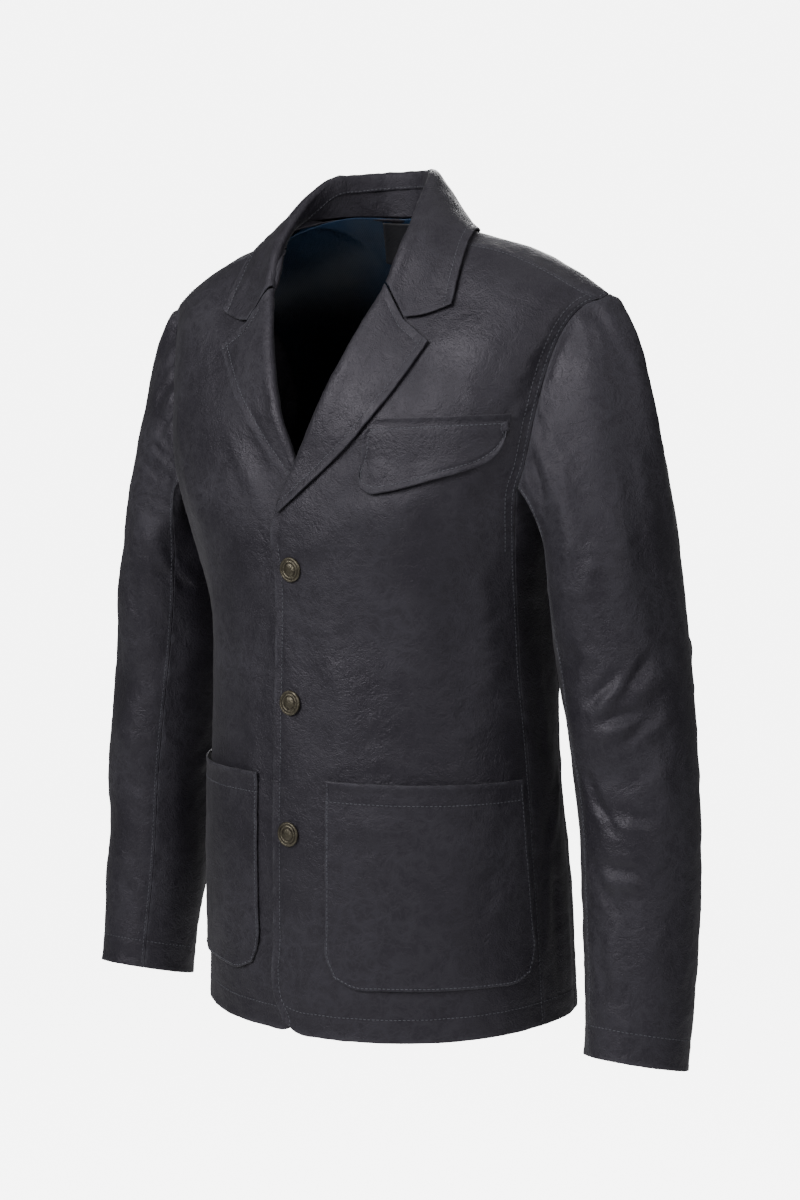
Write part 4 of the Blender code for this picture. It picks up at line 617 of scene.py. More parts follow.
def cloth_heights(panel, grid, sizes):
    """How far the cloth of a panel stands out from its CAD form, at each point of a grid."""
    height = fold_heights(grid, panel.folds)
    if panel.folds != "lining":
        for crumple in CRUMPLES:
            share = crumple.body_share if panel.folds == "body" else crumple.share
            height += sizes.crumple * share * creases(grid, crumple.fineness, crumple.offset)
    if panel.node.startswith("chest"):
        height *= CHEST_CALM
    distance = side_distances(grid)
    for side in seams_of(panel):
        height *= away_from(distance[side], SEAM_FADE)
    for side in SIDES:
        finish = getattr(panel, side)
        d = distance[side]
        calm = np.ones(d.shape)
        for other in seams_of(panel):
            if other != side:
                calm *= away_from(distance[other], SEAM_FADE)
        if finish == SEAM:
            valley, puckers = seam_height(panel, grid, side, d, sizes)
            height += calm * puckers - valley
        elif finish == EDGE and panel.node in ("chest_flap", "chest_welt"):
            height += ridge_height(FLAP_ROLL, d)
        elif finish == EDGE:
            ripple = field(side_points(grid, side), EDGE_RIPPLE_FINENESS, EDGE_RIPPLE_OFFSET)
            height += sizes.pucker * calm * ripple * ridge_height(EDGE_RIPPLE, d)
            mouth = "pocket" in panel.node and side == "top"
            height += calm * ridge_height(POCKET_ROLL if mouth else EDGE_ROLL, d)
    if panel.node == "chest_welt":
        height += ridge_height(WELT_ROLL, distance["top"])
    if panel.node == "chest_flap":
        place, radius, rise = SNAP_BUMP
        d = np.linalg.norm(grid - np.array(place), axis=-1) / radius
        height += rise / (1 + np.exp((d - 1) * SNAP_BUMP_EDGE))
    for row in STITCH_ROWS:
        if matches(row.node, panel.node) and row.inset > GROOVE_INSET:
            d = distance[row.side] - row.inset
            height -= STITCH_GROOVE * np.exp(-(d / STITCH_HALF_WIDTH) ** 2)
    return height


def matches(pattern, name):
    """Whether a name is the pattern, or starts with the part of it before its star."""
    return name.startswith(pattern[:-1]) if pattern.endswith("*") else name == pattern


def clear_selection():
    """Leave nothing selected."""
    for obj in bpy.context.selected_objects:
        obj.select_set(False)


def new_object(name, points, faces, finish):
    """Link a new smooth mesh object with its finish."""
    mesh = bpy.data.meshes.new(name)
    mesh.from_pydata([tuple(p) for p in points], [], faces)
    mesh.update()
    mesh.shade_smooth()
    obj = bpy.data.objects.new(name, mesh)
    bpy.context.scene.collection.objects.link(obj)
    mesh.materials.append(finish)
    return obj


SEAM_LAP = 0.00005              # how far a rim goes past the middle of its seam
LAP_RISE = 0.30                 # how far up or down in the wall it does so, as a share
CORNER_SHARE = 0.94             # how much of the way three rims go to meet at a corner
CORNER_SEARCH = 40              # how many places a corner looks through for its neighbours
SEAM_REACH = 0.004              # how far a rim looks for the one it meets
RIM_STEP = 0.0005               # space between the places that a rim is searched by
EDGE_BULGE, RIM_BULGE = 0.0004, 0.00013         # how far a rim is rounded outwards


def seams_of(panel):
    """The sides of a panel that are sewn to another."""
    return [side for side in SIDES if getattr(panel, side) == SEAM]


def rim_tree(node):
    """The middles of the rims of every seam but those of one node, ready to search, and the
    node that each of them is on."""
    places, owners = [], []
    for panel in PANELS:
        if panel.node == node:
            continue
        cloth = CLOTHS[panel.node]
        middle = cloth.outer - cloth.normals * cloth.wall / 2
        for side in seams_of(panel):
            line = side_line(middle, side)
            run = run_along(line)
            steps = np.arange(0, run[-1], RIM_STEP)
            places.append(np.stack([np.interp(steps, run, line[:, k]) for k in range(3)], axis=1))
            owners += [panel.node] * len(steps)
    places = np.concatenate(places)
    tree = kdtree.KDTree(len(places))
    for k, place in enumerate(places.tolist()):
        tree.insert(place, k)
    tree.balance()
    return tree, owners


def to_meet(rims, place, corner):
    """The way from a rim's point to where it meets another rim, and whose it is, or none."""
    tree, owners = rims
    nearest = {}
    for spot, index, gap in tree.find_n(place.tolist(), CORNER_SEARCH if corner else 1):
        if gap <= SEAM_REACH and owners[index] not in nearest:
            nearest[owners[index]] = (np.array(spot), gap)
    if not nearest:
        return None, ""
    owner, (spot, gap) = next(iter(nearest.items()))
    if len(nearest) > 1:
        middle = np.mean([place] + [each[0] for each in nearest.values()], axis=0)
        return (middle - place) * CORNER_SHARE, owner
    return (spot - place) / max(gap, NO_LENGTH) * (gap / 2 + SEAM_LAP), owner


def rim_points(panel, cloth, name, loop):
    """The points of a rounded rim, each drawn out to meet the rim that it is sewn to."""
    outer, normals, wall = cloth.outer, cloth.normals, cloth.wall
    rows, columns = outer.shape[:2]
    inner = outer - normals * wall
    seams = seams_of(panel)
    rims = rim_tree(panel.node) if seams else None
    rim = []
    for r, c in loop:
        beside = {"bottom": (r == 0, (1, c)), "top": (r == rows - 1, (rows - 2, c)),
                  "first": (c == 0, (r, 1)), "last": (c == columns - 1, (r, columns - 2))}
        out = np.zeros(3)
        sewn = False
        for side, (at_side, near) in beside.items():
            if at_side:
                away = outer[r, c] - outer[near]
                bulge = EDGE_BULGE if getattr(panel, side) == EDGE else RIM_BULGE
                out += away / max(np.linalg.norm(away), NO_LENGTH) * bulge
                sewn = sewn or side in seams
        middle = (outer[r, c] + inner[r, c]) / 2
        corner = r in (0, rows - 1) and c in (0, columns - 1)
        meeting, owner = to_meet(rims, middle, corner) if sewn else (None, "")
        if meeting is not None:
            out = meeting + normals[r, c] * wall * (LAP_RISE if name < owner else -LAP_RISE)
        rim.append(middle + out)
    return np.array(rim)


def shell(panel, cloth, name, finish):
    """A thin closed shell under a fine grid, with a rounded rim that closes its seams."""
    outer = cloth.outer
    rows, columns = outer.shape[:2]
    inner = outer - cloth.normals * cloth.wall
    loop = [(0, c) for c in range(columns - 1)]
    loop += [(r, columns - 1) for r in range(rows - 1)]
    loop += [(rows - 1, c) for c in range(columns - 1, 0, -1)]
    loop += [(r, 0) for r in range(rows - 1, 0, -1)]
    rim = rim_points(panel, cloth, name, loop)
    size = rows * columns
    points = np.concatenate((outer.reshape(-1, 3), inner.reshape(-1, 3), rim))
    index = np.arange(size).reshape(rows, columns)
    a, b = index[:-1, :-1].ravel(), index[:-1, 1:].ravel()
    c, d = index[1:, 1:].ravel(), index[1:, :-1].ravel()
    quads = np.stack((a, b, c, d), axis=1)
    if cloth.sign < 0:
        quads = quads[:, ::-1]
    faces = quads.tolist() + (quads[:, ::-1] + size).tolist()
    count = len(loop)
    for k in range(count):
        here, there = loop[k], loop[(k + 1) % count]
        low = [int(index[here]), int(index[there])]
        mid = [2 * size + k, 2 * size + (k + 1) % count]
        far = [low[0] + size, low[1] + size]
        strips = [[low[1], low[0], mid[0], mid[1]], [mid[1], mid[0], far[0], far[1]]]
        faces += strips if cloth.sign > 0 else [s[::-1] for s in strips]
    return new_object(name, points, faces, finish)


def add_mask(obj, name, values):
    """Give each point of an object a value from 0 to 1 that its finish reads."""
    layer = obj.data.attributes.new(name, "FLOAT", "POINT")
    layer.data.foreach_set("value", np.clip(values, 0, 1).astype(np.float32))


ROW_REACH = 1.6                 # a row needs this many times its inset of cloth beside it


class ThreadRing(NamedTuple):
    """A ring of a stitch: how far along it is, how thick and how high, as shares."""
    along: float
    fat: float
    rise: float


STITCH_RINGS = (ThreadRing(0.0, 0.35, -0.4), ThreadRing(0.22, 1.0, 0.45),
                ThreadRing(0.78, 1.0, 0.45), ThreadRing(1.0, 0.35, -0.4))
STITCH_SIDES = 5                # faces round a stitch
STITCH_FLATTEN = 0.8            # its height as a share of its width


def stitch_points(grid, normals, row):
    """Points and normals along a row of stitches on a fine grid, and where it starts and ends."""
    distance = side_distances(grid)[row.side]
    upright = row.side in ("first", "last")
    places, ways = [], []
    for step in range(grid.shape[0] if upright else grid.shape[1]):
        d = distance[step] if upright else distance[:, step]
        line = grid[step] if upright else grid[:, step]
        facing = normals[step] if upright else normals[:, step]
        if row.side in ("last", "top"):
            d, line, facing = d[::-1], line[::-1], facing[::-1]
        if d[-1] < row.inset * ROW_REACH:
            continue
        places.append([np.interp(row.inset, d, line[:, k]) for k in range(3)])
        ways.append([np.interp(row.inset, d, facing[:, k]) for k in range(3)])
    if len(places) < 3:
        return None
    places, ways = np.array(places), np.array(ways)
    run = run_along(places)
    return places, ways, run, row.start * run[-1], row.end * run[-1]


def stitches(name, rows, sizes, finish):
    """One mesh of short rounded stitches along rows of points."""
    points, faces = [], []
    shares = np.array([ring.along for ring in STITCH_RINGS])
    last = len(STITCH_RINGS) - 1
    for places, ways, run, low, high in rows:
        pitch = sizes.length + sizes.gap
        for k in range(int((high - low) / pitch)):
            start = low + k * pitch
            spots = shares * sizes.length + start
            line = np.stack([np.interp(spots, run, places[:, i]) for i in range(3)], axis=1)
            up = np.array([np.interp(start, run, ways[:, i]) for i in range(3)])
            up /= np.linalg.norm(up)
            along = line[-1] - line[0]
            along /= max(np.linalg.norm(along), NO_LENGTH)
            side = np.cross(along, up)
            base = len(points)
            for place, ring in zip(line, STITCH_RINGS):
                centre = place + up * sizes.radius * ring.rise
                for s in range(STITCH_SIDES):
                    turn = 2 * math.pi * s / STITCH_SIDES
                    way = side * math.cos(turn) + up * STITCH_FLATTEN * math.sin(turn)
                    points.append(centre + sizes.radius * ring.fat * way)
            for ring in range(last):
                for s in range(STITCH_SIDES):
                    a = base + ring * STITCH_SIDES + s
                    b = base + ring * STITCH_SIDES + (s + 1) % STITCH_SIDES
                    faces.append([a, b, b + STITCH_SIDES, a + STITCH_SIDES])
            faces.append([base + s for s in range(STITCH_SIDES)][::-1])
            faces.append([base + last * STITCH_SIDES + s for s in range(STITCH_SIDES)])
    return new_object(name, points, [f[::-1] for f in faces], finish)


LABEL_WIDTH = 0.046
LABEL_ROWS = (9.7, 11.85)       # rows of the satin where the label starts and ends
LABEL_COLUMNS = (6.0, 10.0)     # columns of the satin that it lies between
LABEL_LINES = (24, 160)         # lines of the fine satin that it is cut from, each way
LABEL_POINTS = 28               # points across the label
LABEL_HANG = 0.35               # how much of the satin's slope the label follows
LABEL_TURN = 0.15               # how far the label hangs askew
LABEL_GAP = 0.0020              # from the satin's outer side to the label


def label_grid():
    """A fine grid for the label, a little inside the satin."""
    coarse, sign = panel_grid(panel_called("back_lining"))
    coarse = satin_to_collar(coarse)
    weights = []
    for axis, ends, count in zip((0, 1), (LABEL_ROWS, LABEL_COLUMNS), LABEL_LINES):
        lengths = np.linalg.norm(np.diff(coarse, axis=axis), axis=2).mean(axis=1 - axis)
        knots = np.concatenate(([0.0], np.cumsum(lengths)))
        places = np.interp(np.linspace(*ends, count), np.arange(len(knots)), knots)
        weights.append(smooth_weights(knots, places))
    wide = np.einsum("ri,cj,ijx->rcx", *weights, coarse)
    across = np.linspace(-LABEL_WIDTH / 2, LABEL_WIDTH / 2, LABEL_POINTS)
    grid = np.stack([[np.interp(across, row[:, 0], row[:, k]) for row in wide]
                     for k in range(3)], axis=2)
    grid = grid - grid_normals(grid, sign) * LABEL_GAP
    down = grid[-1:, :, 2] - grid[:, :, 2]
    grid[:, :, 1] = grid[-1:, :, 1] + (grid[:, :, 1] - grid[-1:, :, 1]) * LABEL_HANG
    grid[:, :, 0] -= down * LABEL_TURN
    return grid, sign


def panel_called(node):
    """The row of PANELS with a node's name."""
    return next(panel for panel in PANELS if panel.node == node)


FALL = 0.0100                   # how far the collar's leaf comes down inside its fold
FALL_AT_ENDS = 0.0025           # the same at the collar's two ends
FALL_CLEAR = 0.0034             # from the stand's outer side to the face of the leaf over it
FALL_PAST = 0.0100              # how far past the stand's end the leaf lies in its fold only
FALL_TURN = 0.0006              # how far it turns in there
FALL_STEP = (0.0014, 0.0006)    # how far the fold's first columns move in to clear the stand
FALL_SHARES = (1.0, 0.75, 0.5, 0.25)    # how far down each of its new columns lies
FALL_END_ROWS = 5               # rows over which it comes down to its full length
STAND_LINES = (400, 41)         # lines of the fine stand that it is laid over, each way
FLAP_RISE = 0.0055              # how far the flap goes up over the welt
FLAP_CLEAR = 0.0012             # how far the flap's top stands off the welt
FLAP_EASE = 0.4                 # share of that which the row below has
SATIN_RISE = 0.0042             # how far the satin goes up to the collar at the back


def fine_stand():
    """The stand's grid with many lines, from its fold down, and its normals."""
    stand, facing = panel_grid(panel_called("collar_stand"))
    lines, columns = STAND_LINES
    by_row = smooth_weights(np.arange(len(stand)), np.linspace(0, len(stand) - 1, lines))
    by_column = smooth_weights(np.arange(3), np.linspace(2, 0, columns))
    stand = np.einsum("ri,cj,ijx->rcx", by_row, by_column, stand)
    return stand, grid_normals(stand, -facing)


def over_stand(stand, place):
    """The line of the stand nearest to a place, and from 0 to 1 how far the leaf goes over it."""
    near = int(np.argmin(np.linalg.norm(stand[:, 0] - place, axis=1)))
    over = (FALL_PAST - np.linalg.norm(stand[near, 0] - place)) / FALL_PAST * 2
    return near, min(1.0, max(0.0, over))


def leaf_over_stand(coarse):
    """The leaf's grid with four columns more, down over the stand inside the fold."""
    stand, out = fine_stand()
    nearest = [over_stand(stand, place) for place in coarse[:, 0]]
    columns = []
    for share in FALL_SHARES:
        line = []
        for row, (place, (near, over)) in enumerate(zip(coarse[:, 0], nearest)):
            end = min(row, len(coarse) - 1 - row)
            full = min(1.0, end / FALL_END_ROWS)
            drop = share * (FALL_AT_ENDS + (FALL - FALL_AT_ENDS) * full)
            runs = np.linalg.norm(np.diff(stand[near], axis=0), axis=1)
            step = min(int(np.searchsorted(np.cumsum(runs), drop)), STAND_LINES[1] - 1)
            before = stand[near, 0] - stand[near - 1, 0]
            aside = (place - stand[near, 0]) @ before / np.linalg.norm(before) ** 2
            level = stand[near, step] + (stand[near, step] - stand[near - 1, step]) * aside
            level = level - out[near, step] * FALL_CLEAR
            inner = place - out[near, 0] * FALL_TURN * share
            line.append(inner + (level - inner) * over)
        columns.append(np.array(line)[:, None])
    fold = coarse.copy()
    for row, (near, over) in enumerate(nearest):
        for column, move in enumerate(FALL_STEP):
            fold[row, column] -= out[near, 0] * move * over
    return np.concatenate(columns + [fold], axis=1)


def flap_over_welt(coarse):
    """The flap's grid with one row more, up over the welt."""
    welt, facing = panel_grid(panel_called("chest_welt"))
    out = grid_normals(welt, facing)[0]
    up = welt[1] - welt[0]
    up /= np.linalg.norm(up, axis=1, keepdims=True)
    top = coarse[-1] + out * FLAP_CLEAR
    lifted = np.concatenate((coarse[:-1], top[None], (top + up * FLAP_RISE)[None]))
    lifted[-3] += out * FLAP_CLEAR * FLAP_EASE
    return lifted


def satin_to_collar(coarse):
    """The satin's grid with its top drawn up to the collar at the back of the neck."""
    raised = coarse.copy()
    middle = coarse.shape[1] // 2
    raised[-1, middle - 1:middle + 2, 2] += SATIN_RISE
    return raised


# The panels whose grid reaches further than their CAD form, and those with a finer mesh.
REACHES = {"collar_leaf": leaf_over_stand, "chest_flap": flap_over_welt,
           "back_lining": satin_to_collar}
FINENESS = {"chest_flap": 0.4, "chest_welt": 0.4, "top_sleeve_left": 0.7, "top_sleeve_right": 0.7}


class Cloth(NamedTuple):
    """The cloth of a panel: its fine grid, how far it stands out from that, its outer side and
    normals, its wall, and 1 or -1 for which way its grid turns."""
    grid: np.ndarray
    heights: np.ndarray
    outer: np.ndarray
    normals: np.ndarray
    wall: float
    sign: float


CLOTHS = {}                     # every panel's cloth, worked out before the first is dressed


def cloth_of(context, panel):
    """Work out the cloth of a panel."""
    sizes = context.scene.blazer_cloth
    wall = context.scene.blazer_lining.wall if panel.folds == "lining" else sizes.wall
    if panel.node == "neck_label":
        grid, sign = label_grid()
    else:
        coarse, sign = panel_grid(panel)
        if panel.node in REACHES:
            coarse = REACHES[panel.node](coarse)
        grid = fine_grid(coarse, sizes.cell * FINENESS.get(panel.node, 1.0), panel)
    heights = cloth_heights(panel, grid, sizes)
    outer = grid + grid_normals(grid, sign) * heights[..., None]
    return Cloth(grid, heights, outer, grid_normals(outer, sign), wall, sign)


def dress(context, panel, finish):
    if not CLOTHS:
        CLOTHS.update((each.node, cloth_of(context, each)) for each in PANELS)
    cloth = CLOTHS[panel.node]
    obj = shell(panel, cloth, panel.node + "_cloth", finish)
    add_mask(obj, "wear", wear_values(panel, cloth, len(obj.data.vertices)))
    rows = [stitch_points(cloth.outer, cloth.normals, row) for row in STITCH_ROWS
            if matches(row.node, panel.node)]
    rows = [row for row in rows if row]
    if rows:
        thread = finish_called(context, "thread_finish")
        sewn = stitches(panel.node + "_stitches", rows, context.scene.blazer_stitch, thread)
        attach(sewn, "root")
    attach(obj, "root")
    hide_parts(panel.node)


CREST_WEAR, CREST_HEIGHT = 0.5, 0.004   # wear of a crest, and how high a crest has all of it
WEAR_REACH = 0.0028             # how far in from an edge or a seam the wear reaches


def wear_values(panel, cloth, count):
    """How worn each point of a panel's shell is, most at its edges and on its crests."""
    distance = side_distances(cloth.grid)
    wear = np.clip(cloth.heights / CREST_HEIGHT, 0, 1) * CREST_WEAR
    for side in SIDES:
        if getattr(panel, side) in (EDGE, SEAM):
            wear = np.maximum(wear, np.exp(-(distance[side] / WEAR_REACH) ** 2))
    values = np.zeros(count)
    values[:wear.size] = wear.ravel()
    values[2 * wear.size:] = 1.0
    return values


# ---------------------------------------------------------------- finishes
def link(tree, source, target):
    """Join two sockets."""
    tree.links.new(source, target)


def feed(tree, socket, value):
    """Give a socket the output of another node, a colour or a number."""
    if isinstance(value, bpy.types.NodeSocket):
        link(tree, value, socket)
    else:
        socket.default_value = value


def new_node(tree, kind, **values):
    """A new node, with a value or another node's output on each input that is named."""
    node = tree.nodes.new(kind)
    for name, value in values.items():
        feed(tree, node.inputs[name.replace("_", " ")], value)
    return node


def maths(tree, operation, first, second=None):
    """A Math node on sockets or numbers, and its output."""
    node = tree.nodes.new("ShaderNodeMath")
    node.operation = operation
    feed(tree, node.inputs[0], first)
    if second is not None:
        feed(tree, node.inputs[1], second)
    return node.outputs[0]


def plus(tree, first, second, share):
    """One value and a share of another."""
    return maths(tree, "ADD", first, maths(tree, "MULTIPLY", second, share))


def spread(tree, value, low, high, to_low=0.0, to_high=1.0):
    """A value moved from one range to another and kept inside it."""
    node = new_node(tree, "ShaderNodeMapRange", Value=value, From_Min=low, From_Max=high,
                    To_Min=to_low, To_Max=to_high)
    return node.outputs["Result"]


def mixed(tree, factor, first, second):
    """A colour between two."""
    node = tree.nodes.new("ShaderNodeMix")
    node.data_type = "RGBA"
    for name, value in (("Factor", factor), ("A", (*first, 1.0)), ("B", (*second, 1.0))):
        feed(tree, node.inputs[name], value)
    return node.outputs["Result"]


def shaded(colour, share, lift=0.0):
    """A colour made darker or paler."""
    return tuple(c * share + lift for c in colour)


def noise_value(tree, place, scale, detail=3.0, roughness=0.55, distortion=0.0):
    """Noise on a place socket."""
    node = new_node(tree, "ShaderNodeTexNoise", Vector=place, Scale=scale, Detail=detail,
                    Roughness=roughness, Distortion=distortion)
    return node.outputs["Fac"]


def bands(tree, place, scale, direction):
    """Straight fine bands, as twill and ribs have."""
    node = new_node(tree, "ShaderNodeTexWave", Vector=place, Scale=scale)
    node.bands_direction = direction
    return node.outputs["Fac"]


CRACKLES = ((65, 0.36), (210, 0.32), (520, 0.22))       # how fine each creasing is, its share
CRACKLE_DETAIL = 1.5
CRACK_WIDTH = 0.034             # creasing up to this height is a crack
CRACK_BREAKS = 1.6              # how little the finer creasing breaks a crack up
WARP_FINENESS, WARP = 34, 0.022         # how fine and how far the creasing is bent about


def crackle_group():
    """Node group: the fine creasing of waxed cloth, as a height and a mask of its cracks."""
    name = "Wax Crackle"
    if name in bpy.data.node_groups:
        return bpy.data.node_groups[name]
    tree = bpy.data.node_groups.new(name, "ShaderNodeTree")
    tree.interface.new_socket("Place", in_out="INPUT", socket_type="NodeSocketVector")
    tree.interface.new_socket("Size", in_out="INPUT", socket_type="NodeSocketFloat")
    tree.interface.new_socket("Height", in_out="OUTPUT", socket_type="NodeSocketFloat")
    tree.interface.new_socket("Cracks", in_out="OUTPUT", socket_type="NodeSocketFloat")
    source = tree.nodes.new("NodeGroupInput")
    result = tree.nodes.new("NodeGroupOutput")
    place = source.outputs["Place"]
    warp = new_node(tree, "ShaderNodeTexNoise", Scale=WARP_FINENESS, Vector=place)
    push = tree.nodes.new("ShaderNodeVectorMath")
    push.operation = "SCALE"
    push.inputs["Scale"].default_value = WARP
    link(tree, warp.outputs["Color"], push.inputs[0])
    moved = tree.nodes.new("ShaderNodeVectorMath")
    moved.operation = "ADD"
    link(tree, place, moved.inputs[0])
    link(tree, push.outputs[0], moved.inputs[1])
    heights = []
    for scale, share in CRACKLES:
        scaled = maths(tree, "MULTIPLY", source.outputs["Size"], scale)
        value = new_node(tree, "ShaderNodeTexNoise", Detail=CRACKLE_DETAIL, Scale=scaled,
                         Vector=moved.outputs[0])
        folded = maths(tree, "ABSOLUTE", maths(tree, "SUBTRACT", value.outputs["Fac"], 0.5))
        heights.append(maths(tree, "MULTIPLY", folded, share))
    broad, middle, fine = heights
    total = maths(tree, "ADD", maths(tree, "ADD", broad, middle), fine)
    link(tree, total, result.inputs["Height"])
    thin = maths(tree, "MINIMUM", broad, maths(tree, "MULTIPLY", middle, CRACK_BREAKS))
    link(tree, spread(tree, thin, 0.0, CRACK_WIDTH, 1.0, 0.0), result.inputs["Cracks"])
    return tree


def start_material(name):
    """A new node material, its shader and its place socket."""
    material = bpy.data.materials.new(name)
    material.use_nodes = True
    tree = material.node_tree
    shader = tree.nodes["Principled BSDF"]
    place = tree.nodes.new("ShaderNodeTexCoord").outputs["Object"]
    return material, tree, shader, place


def add_bump(tree, shader, height, distance):
    """Bump from a height in the shader's normal."""
    bump = new_node(tree, "ShaderNodeBump", Distance=distance, Strength=1.0, Height=height)
    link(tree, bump.outputs["Normal"], shader.inputs["Normal"])


def wear_mask(tree):
    """The wear that is kept on a piece's points."""
    node = tree.nodes.new("ShaderNodeAttribute")
    node.attribute_name = "wear"
    return node.outputs["Fac"]


# Fineness is in lumps or bands to the metre, and a bump's height is in metres. A pair of numbers
# is a range: of noise that is spread over 0 to 1, or of roughness, height or colour.
MIDDLE_NOISE = (0.3, 0.7)
PATCH_FINENESS, STREAK_PATCHES, ROUGH_PATCHES = 14, (0.36, 0.62), (0.35, 0.65)
RUB_FINENESS, RUB_PATCHES = 70, (0.40, 0.65)
DUST_FINENESS, DUST_PATCHES = 700, (0.45, 0.75)
STREAKS, RUBBED, DUST = 0.34, 0.72, 0.18        # shares of the paler colour
WAX_ROUGH, WORN_ROUGHER = (0.46, 0.62), 0.25
WEAVE_FINENESS, WEAVE, WAX_BUMP = 900, 0.12, 0.0025
CLOUD_FINENESS, CLOUD_SHADE = 30, (0.55, 1.0)
SATIN_PAINTED_LIGHT = (-0.075, -0.015)  # painted light and shade: the satin's colour goes from its painted shade below to fully lit above between these heights
SATIN_PAINTED_SHADE = 0.12               # share of its colour that it keeps in the painted shade
SATIN_ROUGH, SATIN_BUMP = (0.30, 0.42), 0.0006
TWILL_FINENESS, TWILL = 260, 0.25
RIB_FINENESS, RIB_BUMP = 330, 0.0002
RIB_SHARE, RIB_LIFT = 2.6, 0.004        # how much paler the ribs are than the tape
TAPE_FINENESS, TAPE_ROUGH = 90, (0.45, 0.62)
THREAD_FINENESS, THREAD_DARK, THREAD_ROUGH = 160, 0.45, (0.45, 0.65)
TWIST_FINENESS, THREAD_BUMP = 2400, 0.0001
TARNISH_FINENESS, TARNISH_PATCHES = 260, (0.38, 0.66)
TARNISH, HOLLOW_TARNISH = 0.6, 0.55     # most tarnish anywhere, and how much more in hollows
BRASS_ROUGH, BRASS_BUMP = (0.36, 0.62), 0.0006


def waxed_cloth_material(context, name):
    """Waxed cotton: near black, crackled all over, paler where it is worn."""
    sizes = context.scene.blazer_cloth
    material, tree, shader, place = start_material(name)
    crackle = new_node(tree, "ShaderNodeGroup")
    crackle.node_tree = crackle_group()
    feed(tree, crackle.inputs["Place"], place)
    feed(tree, crackle.inputs["Size"], 1.0)
    patches = noise_value(tree, place, PATCH_FINENESS, 4)
    dust = spread(tree, noise_value(tree, place, DUST_FINENESS, 3, 0.7), *DUST_PATCHES)
    rubs = spread(tree, noise_value(tree, place, RUB_FINENESS, 3), *RUB_PATCHES)
    rubbed = maths(tree, "MULTIPLY", rubs, wear_mask(tree))
    streaks = spread(tree, patches, *STREAK_PATCHES)
    streaks = maths(tree, "MULTIPLY", crackle.outputs["Cracks"], streaks)
    mask = plus(tree, maths(tree, "MULTIPLY", streaks, STREAKS), rubbed, RUBBED)
    mask = plus(tree, mask, dust, DUST)
    feed(tree, shader.inputs["Base Color"], mixed(tree, mask, sizes.dark, sizes.worn))
    rough = spread(tree, patches, *ROUGH_PATCHES, *WAX_ROUGH)
    rough = plus(tree, rough, mask, WORN_ROUGHER)
    feed(tree, shader.inputs["Roughness"], rough)
    weave = noise_value(tree, place, WEAVE_FINENESS, 1)
    height = maths(tree, "MULTIPLY", crackle.outputs["Height"], -1.0)
    add_bump(tree, shader, plus(tree, height, weave, WEAVE), WAX_BUMP)
    shader.inputs["Specular IOR Level"].default_value = 0.55
    shader.inputs["Specular Tint"].default_value = (0.95, 0.90, 1.0, 1.0)
    shader.inputs["Sheen Weight"].default_value = 0.10
    shader.inputs["Sheen Roughness"].default_value = 0.45
    return material


def satin_material(context, name):
    """Lining satin: fine twill lines and soft gloss, with painted shade that darkens its colour lower
    down.
    """
    material, tree, shader, place = start_material(name)
    satin = context.scene.blazer_lining.satin
    clouds = noise_value(tree, place, CLOUD_FINENESS, 3)
    parts = tree.nodes.new("ShaderNodeSeparateXYZ")
    link(tree, place, parts.inputs[0])
    # painted shade: the satin's colour darkens lower down, where shade falls inside the back, and random
    # clouds break it up
    painted_light_share = maths(tree, "MULTIPLY", spread(tree, parts.outputs["Z"], *SATIN_PAINTED_LIGHT),
                  spread(tree, clouds, 0.0, 1.0, *CLOUD_SHADE))
    colour = mixed(tree, painted_light_share, shaded(satin, SATIN_PAINTED_SHADE), satin)
    feed(tree, shader.inputs["Base Color"], colour)
    feed(tree, shader.inputs["Roughness"], spread(tree, clouds, *MIDDLE_NOISE, *SATIN_ROUGH))
    twill = bands(tree, place, TWILL_FINENESS, "DIAGONAL")
    add_bump(tree, shader, plus(tree, clouds, twill, TWILL), SATIN_BUMP)
    return material


def tape_material(context, name):
    """Woven label tape: black, with fine ribs."""
    material, tree, shader, place = start_material(name)
    tape = context.scene.blazer_lining.tape
    ribs = bands(tree, place, RIB_FINENESS, "X")
    paler = shaded(tape, RIB_SHARE, RIB_LIFT)
    feed(tree, shader.inputs["Base Color"], mixed(tree, ribs, tape, paler))
    rough = noise_value(tree, place, TAPE_FINENESS, 2)
    feed(tree, shader.inputs["Roughness"], spread(tree, rough, *MIDDLE_NOISE, *TAPE_ROUGH))
    add_bump(tree, shader, ribs, RIB_BUMP)
    return material


def thread_material(context, name):
    """Twisted sewing thread."""
    material, tree, shader, place = start_material(name)
    thread = context.scene.blazer_stitch.colour
    tone = noise_value(tree, place, THREAD_FINENESS, 3)
    colour = mixed(tree, tone, shaded(thread, THREAD_DARK), thread)
    feed(tree, shader.inputs["Base Color"], colour)
    feed(tree, shader.inputs["Roughness"], spread(tree, tone, *MIDDLE_NOISE, *THREAD_ROUGH))
    add_bump(tree, shader, noise_value(tree, place, TWIST_FINENESS, 1), THREAD_BUMP)
    return material


def brass_material(context, name):
    """Aged brass: olive metal with dark tarnish in its hollows."""
    sizes = context.scene.blazer_snap
    material, tree, shader, place = start_material(name)
    tarnish = noise_value(tree, place, TARNISH_FINENESS, 5, 0.65, 0.6)
    mask = spread(tree, tarnish, *TARNISH_PATCHES, 0.0, TARNISH)
    mask = plus(tree, mask, wear_mask(tree), HOLLOW_TARNISH)
    mask.node.use_clamp = True
    feed(tree, shader.inputs["Base Color"], mixed(tree, mask, sizes.brass, sizes.tarnish))
    feed(tree, shader.inputs["Roughness"], spread(tree, mask, 0.0, 1.0, *BRASS_ROUGH))
    shader.inputs["Metallic"].default_value = 0.85
    add_bump(tree, shader, tarnish, BRASS_BUMP)
    return material


